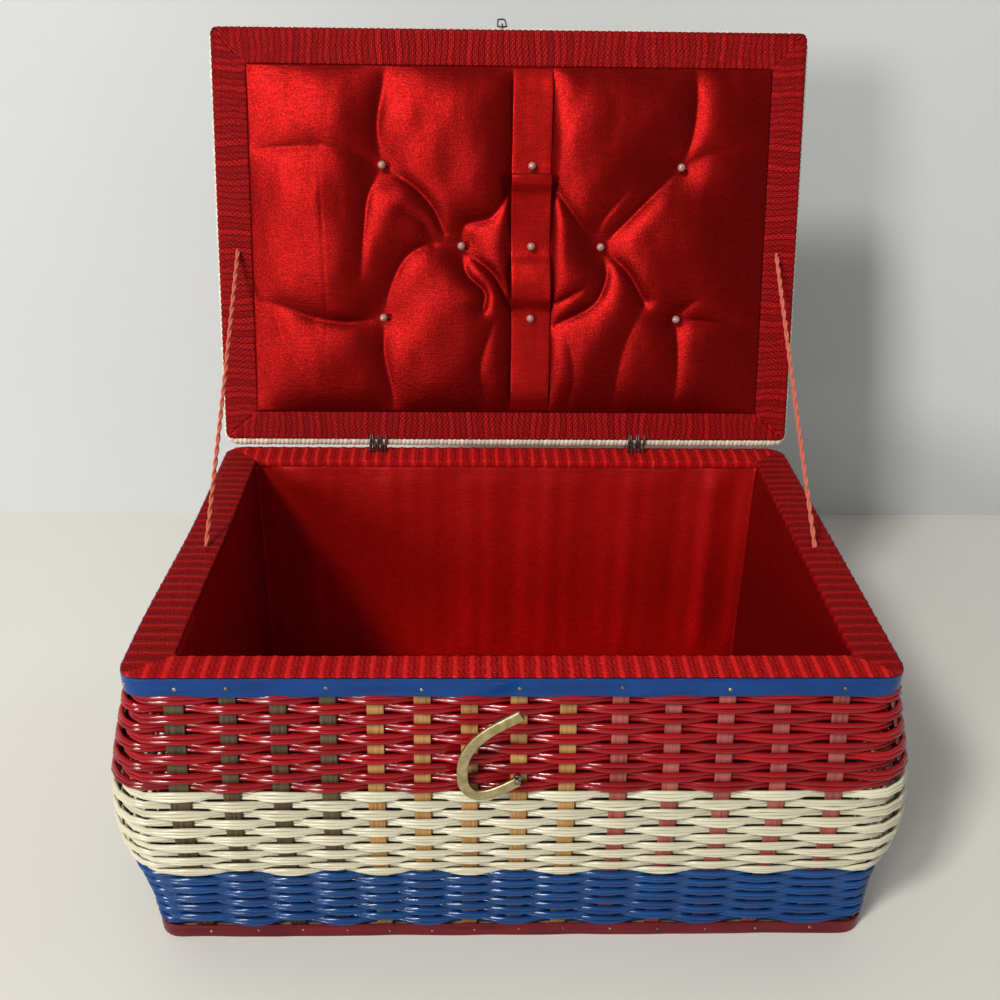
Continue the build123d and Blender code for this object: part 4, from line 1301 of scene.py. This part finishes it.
@dataclass(frozen=True)
class LidShell:
    """The lid's wrapped border, its woven outer face, its board, braid, staple and loop."""

    lid: LidFrame
    border_radius: float = 3.4
    border_plan: RoundedPlan = RoundedPlan(145.6, 100.96, 4.1, 100.96)
    border_sides: int = 14
    wrap_pitch: float = 2.2
    wrap_steps: int = 6
    wrap_sink: float = 0.42
    wrap_rise: float = 0.5
    wrap_uneven: float = 0.12
    strip_pitch: float = 19.1
    strip_width: float = 6.4
    strip_thickness: float = 0.8
    strips_each_side: int = 7
    weave_half: float = 143.5
    weave_length: float = 202.0
    weave_depth: float = -2.3
    courses: int = 50
    course_pitch: float = 4.02
    first_course: float = 1.5
    strand_radius: float = 0.85
    strand_offset: float = 0.95
    strand_swing: float = 0.95
    braid_outer: RoundedPlan = RoundedPlan(147.3, 101.8, 3.5, 102.2)
    braid_inner: RoundedPlan = RoundedPlan(130.6, 86.1, 1.2, 100.96)
    latch_place: tuple[float, float, float] = (-4.0, 206.21, 70.0)
    latch_radius: float = 0.42
    staple: RoundedPlan = RoundedPlan(2.6, 1.24, 1.2)
    loop: RoundedPlan = RoundedPlan(2.3, 11.5, 2.1)

    def border(self) -> None:
        """The border: a round section carried round the lid, with a slanting ridge for each wrap.

        The radius is border - sink + rise |sin(pi (distance / pitch + slant))|^0.7, where the slant is
        a quarter of a wrap times the cosine round the section, and no two wraps are equally thick.
        """
        wraps = round(self.border_plan.length / self.wrap_pitch)
        turns, path, out = self.border_plan.ring(wraps * self.wrap_steps)
        angle = np.arange(self.border_sides) * 2 * np.pi / self.border_sides
        ridge = ridged(wraps * turns[:, None] + 0.25 * np.cos(angle))
        single = np.random.default_rng(5).uniform(-self.wrap_uneven, self.wrap_uneven, wraps)
        single = np.repeat(single, self.wrap_steps)[:, None]
        radius = self.border_radius - self.wrap_sink + self.wrap_rise * ridge**0.7 + single
        grid = path[:, None, :] + (radius * np.cos(angle))[..., None] * out[:, None, :]
        points = self.lid.place(grid[..., 0], grid[..., 1], radius * np.sin(angle))
        piece, round_it = Piece("lid_border_wrap"), np.linspace(0, 21, self.border_sides + 1)
        piece.add(points, np.append(turns, 1) * wraps * 9.0, round_it, ring=True, tone=0.55 + 2.0 * single)
        settle(piece, Finish.WRAP, "lid", "lid_border", "lid_border")

    def weave_strands(self) -> None:
        """The outer face's pairs of strands, which pass over and under the strips.

        A strand's height is middle + swing cos(pi (x / pitch + course)), and it ends inside the border.
        """
        half = self.weave_half
        x = np.linspace(-half, half, 121)
        piece = Piece("lid_weave_strands")
        tones = np.random.default_rng(21)
        for course in range(self.courses):
            u = self.first_course + self.course_pitch * course
            phase = np.cos(np.pi * (x / self.strip_pitch + course))
            trim = half - 3.5 * hump(np.minimum(u, self.weave_length - u), 9)
            reach = np.clip(x, -trim, trim) + 1e-4 * x
            height = self.weave_depth - self.strand_swing * flattened(phase, 0.8)
            along = np.arange(124.0) * 2.4 + 97 * course
            for rank, beside in enumerate((-self.strand_offset, self.strand_offset)):
                shift = 0.15 * wander(40 + 2 * course + rank, x / (2 * half), (3, 7, 11))
                path = self.lid.place(reach, u + beside * (0.4 + 0.6 * np.abs(phase)) + shift, height)
                piece.add(wire(path, self.strand_radius, 6), along, tone=tones.uniform(0.3, 0.85))
        settle(piece, Finish.CREAM_STRAND, "lid", "lid_weave", "lid_weave")

    def weave_strips(self) -> None:
        """The outer face's strips, a rounded section carried along the lid."""
        piece = Piece("lid_weave_strips")
        u = np.linspace(-1, self.weave_length + 1, 60)
        across, _, out = self.lid.ways()
        for number in range(-self.strips_each_side, self.strips_each_side + 1):
            path = self.lid.place(number * self.strip_pitch, u, self.weave_depth)
            grid = capped(carried(path, across, out, box_section(self.strip_width, self.strip_thickness)))
            piece.add(grid, np.arange(63.0) * 3.4 + 71 * number, np.linspace(0, 13, 13))
        settle(piece, Finish.AMBER_STAKE, "lid", "stakes_amber")

    def braid(self) -> None:
        """The braid round the lid's inner face, worked flat and then moved onto the lid."""
        braid = Braid(
            self.braid_outer, self.braid_inner, base=3.45, thickness=1.22, kind=BraidKind.DASHED, step=0.35,
            columns=25, bent=self.lid.laid,
        )
        settle(braid.piece("lid_braid_ribs"), Finish.LID_BRAID, "lid", "lid_braid", "lid_braid")

    def latch(self) -> None:
        """The staple, a ring standing in the lid's edge, and the loop, a long ring leaning back from it."""
        x, pivot, lean = self.latch_place
        _, ring, _ = self.staple.ring(40)
        off = self.staple.half_depth - self.staple.half_width
        staple = self.lid.place(x, pivot + off + ring[:, 0], ring[:, 1])
        _, ring, _ = self.loop.ring(80)
        along = ring[:, 1] + self.loop.half_depth
        s, c = math.sin(math.radians(lean)), math.cos(math.radians(lean))
        across = ring[:, 0] * (1 - 0.25 * along / (2 * self.loop.half_depth))
        loop = self.lid.place(x + across, pivot + along * c, -along * s)
        for node, body, path in (("latch_staple", "lid", staple), ("latch_loop", "latch_loop", loop)):
            piece = Piece(node + "_wire")
            piece.add(wire(path, self.latch_radius, 10, ring=True), ring=True)
            settle(piece, Finish.BLACK_WIRE, body, "latch_wire", node)

    def make(self) -> None:
        """Makes the border, the outer weave, the braid and the latch wires, and finishes the board."""
        self.border()
        self.weave_strands()
        self.weave_strips()
        self.braid()
        refinish("lid_board", Finish.CARD)
        self.latch()


@dataclass(frozen=True)
class Valley:
    """A line along which the satin is drawn down: its points, its strength at both ends and its width."""

    points: tuple[tuple[float, float], ...]
    start: float
    end: float
    width: float

    def pull(self, x: Array, u: Array) -> Array:
        """How much of the puff is left: 1 - strength exp(-distance / width), the least over the segments."""
        line = line_through(np.array(self.points), 8 * len(self.points))
        left = np.ones_like(x)
        strengths = np.linspace(self.start, self.end, len(line))
        for (x0, u0), (x1, u1), strong in zip(line[:-1], line[1:], strengths):
            ahead = np.array([x1 - x0, u1 - u0])
            share = np.clip(((x - x0) * ahead[0] + (u - u0) * ahead[1]) / (ahead @ ahead), 0, 1)
            apart = np.sqrt((x - x0 - ahead[0] * share) ** 2 + (u - u0 - ahead[1] * share) ** 2 + 0.09)
            left = np.minimum(left, 1 - strong * np.exp(-(apart - 0.3) / self.width))
        return left


@dataclass(frozen=True)
class TuftedPad:
    """The lid's satin pad, drawn down at the pins, with folds that run from pin to pin and to the edge."""

    lid: LidFrame
    half_width: float = 130.6
    low: float = 15.0
    high: float = 186.9
    edge_height: float = 4.6
    seat: float = 5.6
    puff: float = 8.0
    slope: float = 15.0
    pin_pull: float = 0.97
    pin_width: float = 6.0
    ribbon_pull: float = 0.88
    ribbon_slope: float = 5.0
    pleat: float = 0.16
    slow_drift: float = 0.75
    fine_drift: float = 0.45
    seam: float = -94.5
    seam_depth: float = 0.2
    board: float = 1.7
    ribbon_middle: float = 11.2
    pins: tuple[tuple[float, float], ...] = (
        (-63.8, 139), (-24.1, 99.8), (-63.8, 63.7), (86.2, 139), (46.5, 99.8), (86.2, 63.7),
    )
    valleys: tuple[Valley, ...] = (
        Valley(((-63.8, 139), (-66, 159), (-62.9, 178), (-62, 190)), 0.92, 0.85, 9),
        Valley(((-63.8, 139), (-78, 145), (-95, 148)), 0.85, 0.25, 6),
        Valley(((-95, 148), (-114, 147), (-131, 146)), 0.25, 0.7, 4),
        Valley(((-63.8, 139), (-46, 127), (-37, 116), (-33, 106)), 0.9, 0.5, 5),
        Valley(((-63.8, 139), (-71, 124), (-73, 108), (-75, 85)), 0.75, 0.2, 5),
        Valley(((-24.1, 99.8), (-23, 109), (-9.4, 114), (1, 128)), 0.9, 0.7, 6),
        Valley(((-24.1, 99.8), (-22, 87), (-12, 75), (-13, 69)), 0.9, 0.5, 4.5),
        Valley(((-22, 97), (-8, 86), (0, 72)), 0.75, 0.6, 4),
        Valley(((-24.1, 99.8), (-38, 101), (-50, 96), (-60, 80), (-63.8, 63.7)), 0.9, 0.85, 9),
        Valley(((-38, 101), (-44, 112), (-52, 116)), 0.6, 0.3, 4),
        Valley(((-63.8, 63.7), (-83, 61), (-98, 63), (-120, 70), (-131, 72)), 0.9, 0.55, 6),
        Valley(((-63.8, 63.7), (-64, 45), (-60, 25), (-59, 12)), 0.9, 0.8, 12),
        Valley(((-120, 66), (-112, 45), (-98, 28)), 0.5, 0.1, 6),
        Valley(((-8, 60), (-14, 40), (-10, 12)), 0.3, 0.6, 7),
        Valley(((86.2, 139), (91, 151), (93.5, 170), (92.2, 190)), 0.95, 0.9, 8),
        Valley(((86.2, 139), (98, 145), (131, 147)), 0.8, 0.5, 7),
        Valley(((86.2, 139), (74, 127), (60, 113), (46.5, 99.8)), 0.9, 0.9, 7),
        Valley(((44, 104), (47, 112), (58, 126)), 0.6, 0.2, 3.5),
        Valley(((46.5, 99.8), (36, 111), (25, 126)), 0.85, 0.6, 5.5),
        Valley(((46.5, 99.8), (60, 88), (70, 72)), 0.85, 0.6, 5),
        Valley(((46.5, 99.8), (50, 85), (46, 74), (24, 60)), 0.9, 0.7, 5.5),
        Valley(((40, 80), (30, 74), (22, 70)), 0.2, 0.6, 3.5),
        Valley(((86.2, 63.7), (105, 62), (131, 60)), 0.85, 0.5, 6),
        Valley(((86.2, 63.7), (92, 70), (97, 74)), 0.8, 0.1, 3),
        Valley(((70, 72), (60, 50), (54, 12)), 0.45, 0.6, 11),
        Valley(((86.2, 63.7), (88, 45), (86, 12)), 0.85, 0.35, 6),
        Valley(((30, 55), (34, 35), (30, 12)), 0.2, 0.5, 7),
        Valley(((-63.8, 139), (-67, 152), (-66, 165), (-62.9, 184)), 0.55, 0.3, 1.6),
        Valley(((-63.8, 139), (-46, 127), (-37, 116), (-33, 106)), 0.6, 0.4, 1.5),
        Valley(((-24.1, 99.8), (-22, 87), (-12, 75), (-13, 69)), 0.5, 0.5, 1.5),
        Valley(((-22, 97), (-8, 86), (0, 72)), 0.5, 0.5, 1.5),
        Valley(((-63.8, 63.7), (-64, 45), (-60, 25), (-59, 14)), 0.6, 0.5, 1.7),
        Valley(((46.5, 99.8), (50, 85), (47, 76)), 0.5, 0.3, 1.5),
        Valley(((46.5, 99.8), (60, 88), (70, 72)), 0.5, 0.4, 1.5),
        Valley(((86.2, 139), (91, 151), (93.5, 170), (92.2, 186)), 0.5, 0.3, 1.6),
    )

    def height(self, x: Array, u: Array) -> Array:
        """How far the satin stands out of the lid.

        It is the seat, plus the puff times what every valley and every pin leaves of it, with a slow
        drift, short pleats along the edges and one stitched seam. A pin leaves 1 - pull exp(-distance
        / width). The puff is lower near both sides and under the ribbon, and it rises from the edge
        as (1 - exp(-side / slope)) (1 - exp(-end / slope)).

        Args:
            x: Places across the lid.
            u: Places along the lid.

        Returns:
            Heights out of the lid.
        """
        ends = np.clip(np.minimum(u - self.low, self.high - u), 0, None)
        sides = np.clip(self.half_width - np.abs(x), 0, None)
        rise = (1 - np.exp(-sides / self.slope)) * (1 - np.exp(-ends / self.slope))
        left = (1 - 0.45 * eased((x - 84) / 46)) * (1 - 0.3 * eased((-112 - x) / 18))
        for valley in self.valleys:
            left = left * valley.pull(x, u)
        for pin_x, pin_u in self.pins:
            left = left * (1 - self.pin_pull * np.exp(-np.hypot(x - pin_x, u - pin_u) / self.pin_width))
        beside = np.clip(np.abs(x - self.ribbon_middle) - 10.0, 0, None)
        left = left * (1 - self.ribbon_pull * np.exp(-beside / self.ribbon_slope))
        pleats = self.pleat * np.sin(x / 2.9 + 2.0 * np.sin(u / 17)) * np.exp(-np.minimum(sides, ends) / 12)
        slow = self.slow_drift * np.sin(x / 13 + 1.6 * np.sin(u / 19)) * np.sin(u / 15 + x / 40)
        fine = self.fine_drift * np.sin(x / 7.3 - u / 23 + 2) * np.sin(u / 8.9 + 1.4 * np.sin(x / 17))
        stitched = self.seam_depth * hump(x - self.seam - 1.5 * np.sin(u / 40), 0.7) * hump(u - 98, 38)
        middle = self.seat + self.puff * left**0.9 + (slow + fine + pleats) * left - stitched
        return self.edge_height + (middle - self.edge_height) * rise

    def make(self) -> None:
        """A grid over the cushion, a side down to the board and rings that close the back."""
        x = np.linspace(-self.half_width, self.half_width, 300)
        u = np.linspace(self.low, self.high, 200)
        across, along = np.meshgrid(x, u)
        piece = Piece("lid_pad_satin")
        piece.add(self.lid.place(across, along, self.height(across, along)), u, x, section=False)
        rim = np.stack([across, along], axis=-1)
        edge = np.concatenate([rim[0, :-1], rim[:-1, -1], rim[-1, :0:-1], rim[:0:-1, 0]])
        middle = edge.mean(axis=0)
        rings = ((1.0, self.edge_height), (1.0, self.board), (0.6, self.board), (0.0, self.board))
        back = [self.lid.place(*(middle + share * (edge - middle)).T, height) for share, height in rings]
        piece.add(np.stack(back))
        settle(piece, Finish.SATIN, "lid", "lid_pad", "lid_pad")


@dataclass(frozen=True)
class RibbonAndPins:
    """The ribbon, folded into a loop for tools, and the pearl-headed pins."""

    lid: LidFrame
    middle: float = TuftedPad.ribbon_middle
    width: float = 19.8
    thickness: float = 0.5
    sides: int = 26
    curl: float = 0.55
    askew: float = 0.35
    pad_pins: tuple[tuple[float, float], ...] = TuftedPad.pins
    pad_pearl_height: float = 9.1
    ribbon_pins: tuple[float, ...] = (139.0, 99.8, 63.7)
    ribbon_pearl_height: float = 9.8
    pearl_radius: float = 2.0
    stem: tuple[tuple[float, float], ...] = ((0, -6.5), (0.4, -6.0), (0.4, 0.0), (0, 0.1))
    profile: tuple[tuple[float, float], ...] = (
        (16.0, 4.9), (22.0, 6.9), (40.0, 7.5), (60.0, 7.35), (63.7, 7.35), (67.0, 7.6), (74.0, 10.6),
        (82.0, 12.0), (90.0, 10.4), (96.5, 7.6), (99.8, 7.35), (104.0, 7.7), (114.0, 9.6),
        (125.0, 12.6), (131.5, 15.9), (134.2, 16.2), (135.0, 14.2), (133.8, 10.6), (135.5, 7.7),
        (139.0, 7.35), (150.0, 7.5), (170.0, 7.5), (180.0, 6.9), (186.0, 4.9),
    )

    def ribbon(self) -> None:
        """The ribbon: a thin flat section carried along its folded line, a little askew and curled.

        Where the ribbon is free, its edges curl by curl (2 across / width)^2 sin(distance / 7).
        """
        line = line_through(np.array(self.profile), 240)
        walked, tangent = travelled(line), tangents(line)
        across, thick = box_section(self.width, self.thickness, self.sides, 0.28)
        free = hump(walked - 62, 14) + hump(walked - 110, 16)
        curl = self.curl * (2 * across / self.width) ** 2 * (free * np.sin(walked / 7))[:, None]
        askew = self.askew * np.sin(walked / 23)[:, None]
        u = line[:, :1] - tangent[:, 1:] * (thick + curl)
        h = line[:, 1:] + tangent[:, :1] * (thick + curl)
        grid = capped(self.lid.place(self.middle + across + askew, u, h))
        piece = Piece("ribbon_satin_strip")
        piece.add(grid, np.arange(len(grid) + 1.0), np.linspace(0, 2 * self.width, self.sides + 1))
        made = settle(piece, Finish.RIBBON_SATIN, "lid", "ribbon", "ribbon")

    def pearls(self, name: str, node: str, places: list[tuple[float, float, float]]) -> None:
        """Pearl heads: a sphere's profile turned round the way out of the lid, each on a thin stem."""
        piece = Piece(name)
        turn = np.linspace(-np.pi / 2, np.pi / 2, 13)
        ball = np.stack([np.cos(turn), np.sin(turn)], axis=1) * self.pearl_radius
        way = self.lid.ways()[2]
        for place in places:
            middle = self.lid.place(*place)
            piece.add(turned(middle, way, ball, 20))
            piece.add(turned(middle, way, np.array(self.stem), 8))
        settle(piece, Finish.PEARL, "lid", "pearl", node)

    def make(self) -> None:
        """Makes the ribbon and both rows of pearls."""
        self.ribbon()
        self.pearls("pad_pearls", "pad_pins", [(*pin, self.pad_pearl_height) for pin in self.pad_pins])
        places = [(self.middle, u, self.ribbon_pearl_height) for u in self.ribbon_pins]
        self.pearls("ribbon_pearls", "ribbon_pins", places)


# ---- The stay cords ---------------------------------------------------------------------------------
@dataclass(frozen=True)
class StayCords:
    """Two cords of doubled coral yarn, from the rim's braid to the lid's."""

    lid: LidFrame
    across: float = 137.5
    foot: tuple[float, float] = (-5.675, 136.2)
    reach: float = 97.0
    braid_top: float = 4.7
    diameter: float = 2.2
    twist: float = 13.0
    ply_offset: float = 0.52
    ply_radius: float = 0.6
    slack: float = 1.0

    def line(self, side: int) -> Array:
        """The cord's spline through its route's points, read as points in millimetres.

        The route is straight but for a slack of a millimetre at its middle.
        """
        start = np.array([side * self.across, *self.foot])
        end = self.lid.place(side * self.across, self.reach, self.braid_top)
        share = np.array([0, 0.08, 0.3, 0.5, 0.7, 0.92, 1.0])
        route = start + share[:, None] * (end - start)
        route[:, 2] -= 4 * self.slack * share * (1 - share)
        curve = bpy.data.curves.new("stay_route", "CURVE")
        curve.dimensions = "3D"
        spline = curve.splines.new("NURBS")
        spline.points.add(len(route) - 1)
        weighed = np.column_stack([route * MM, np.ones(len(route))])
        spline.points.foreach_set("co", weighed.astype(np.float32).ravel())
        spline.order_u = 3
        spline.use_endpoint_u = True
        spline.resolution_u = 12
        carrier = bpy.data.objects.new("stay_route", curve)
        bpy.context.scene.collection.objects.link(carrier)
        read = bpy.data.meshes.new_from_object(carrier)
        points = np.empty(len(read.vertices) * 3, np.float32)
        read.vertices.foreach_get("co", points)
        bpy.data.objects.remove(carrier)
        bpy.data.meshes.remove(read)
        return points.reshape(-1, 3).astype(float) / MM

    def cord(self, side: int, node: str) -> None:
        """Two plies round the cord's line: line + radius (a cos t + b sin t), half a turn apart."""
        line = self.line(side)
        path = line_through(line, 260)
        walked, tangent = travelled(path), tangents(path)
        a = unit(np.cross(tangent, [1.0, 0, 0]))
        b = np.cross(tangent, a)
        along = np.concatenate([walked[:1], walked, walked[-1:], walked[-1:]])
        piece = Piece(node + "_plies")
        for half in (0, np.pi):
            turn = 2 * np.pi * walked / self.twist + half + 0.5 * np.sin(walked / 31 + side)
            ply = path + self.ply_offset * (np.cos(turn)[:, None] * a + np.sin(turn)[:, None] * b)
            piece.add(capped(carried(ply, a, b, round_section(self.ply_radius, 9))), along)
        made = settle(piece, Finish.YARN, "basket", "stay_cord", node)
        made.parent = None
        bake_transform(made)

    def make(self) -> None:
        """Makes both cords."""
        self.cord(-1, "stay_cord_left")
        self.cord(1, "stay_cord_right")


# ---- Ground, light and camera -----------------------------------------------------------------------
@dataclass(frozen=True)
class Studio:
    """The pale floor and wall, the soft lights and the camera."""

    wall_y: float = 0.281
    reach: float = 3.0
    camera_place: tuple[float, float, float] = (-0.01784, -0.45344, 0.39234)
    pitch: float = 27.402
    yaw: float = 1.519
    roll: float = 0.85
    lens: float = 41.127
    lit_point: tuple[float, float, float] = (0.0, 0.02, 0.14)
    sky: tuple[float, float, float, float] = (0.95, 0.97, 1.0, 1.0)
    sky_strength: float = 0.31

    def ground(self, name: str, corners: list[tuple[float, float, float]], finish: Finish) -> None:
        """A flat stage piece of one face."""
        mesh = bpy.data.meshes.new(name)
        mesh.from_pydata(corners, [], [(0, 1, 2, 3)])
        mesh.materials.append(finish.made())
        made = bpy.data.objects.new(name, mesh)
        bpy.context.scene.collection.objects.link(made)

    def light(
        self, name: str, place: tuple[float, float, float], size: float, watts: float, color: Color
    ) -> None:
        """A square area light that faces the basket's middle."""
        lamp = bpy.data.lights.new(name, "AREA")
        lamp.size, lamp.energy, lamp.color = size, watts, color
        made = bpy.data.objects.new(name, lamp)
        back = unit(np.array(place) - np.array(self.lit_point))
        side = unit(np.cross(UP, back))
        made.matrix_world = placed(side, np.cross(back, side), back, place)
        bpy.context.scene.collection.objects.link(made)

    def camera(self) -> None:
        """The camera looks along (sin yaw cos pitch, cos yaw cos pitch, -sin pitch), rolled a little."""
        th, ps, ro = (math.radians(angle) for angle in (self.pitch, self.yaw, self.roll))
        forward = np.array([math.sin(ps) * math.cos(th), math.cos(ps) * math.cos(th), -math.sin(th)])
        right = np.array([math.cos(ps), -math.sin(ps), 0.0])
        up = np.cross(right, forward)
        across = right * math.cos(ro) + up * math.sin(ro)
        upwards = up * math.cos(ro) - right * math.sin(ro)
        data = bpy.data.cameras.new("camera")
        data.lens, data.sensor_width, data.clip_start = self.lens, 36.0, 0.01
        made = bpy.data.objects.new("camera", data)
        made.matrix_world = placed(across, upwards, -forward, self.camera_place)
        bpy.context.scene.collection.objects.link(made)
        bpy.context.scene.camera = made

    def make(self) -> None:
        """Sets floor, wall, lights, camera and a plain pale world."""
        r, y = self.reach, self.wall_y
        self.ground("floor", [(-r, -r, 0), (r, -r, 0), (r, y, 0), (-r, y, 0)], Finish.FLOOR)
        self.ground("backdrop", [(-r, y, 0), (r, y, 0), (r, y, r), (-r, y, r)], Finish.BACKDROP)
        self.light("low_key", place=(-1.68, -2.41, 0.90), size=0.58, watts=36.0, color=(1.0, 0.98, 0.95))
        self.light("high_key", place=(-1.23, -1.47, 2.06), size=0.40, watts=49.0, color=(1.0, 0.98, 0.96))
        world = bpy.data.worlds.new("studio")
        world.use_nodes = True
        background = world.node_tree.nodes["Background"].inputs
        background["Color"].default_value, background["Strength"].default_value = self.sky, self.sky_strength
        bpy.context.scene.world = world
        bpy.context.scene.view_settings.view_transform = "Standard"
        self.camera()


def placed(x: Array, y: Array, z: Array, place: tuple[float, float, float]) -> Matrix:
    """The matrix whose columns are the three axes and the place."""
    matrix = np.eye(4)
    matrix[:3, 0], matrix[:3, 1], matrix[:3, 2], matrix[:3, 3] = x, y, z, place
    return Matrix(matrix.tolist())


def main() -> None:
    """Sets the studio, then dresses the basket, the lid and the cords."""
    logging.basicConfig(level=logging.INFO, format="%(name)s %(message)s")
    lid = LidFrame(hinge_y=100.325, hinge_z=141.7)
    Studio().make()
    StayCords(lid).make()
    BasketWeave().make()
    BasketTrim().make()
    BasketInside().make()
    Hook().make()
    HingeLashing(lid).make()
    LidShell(lid).make()
    TuftedPad(lid).make()
    RibbonAndPins(lid).make()


if __name__ == "__main__":
    main()
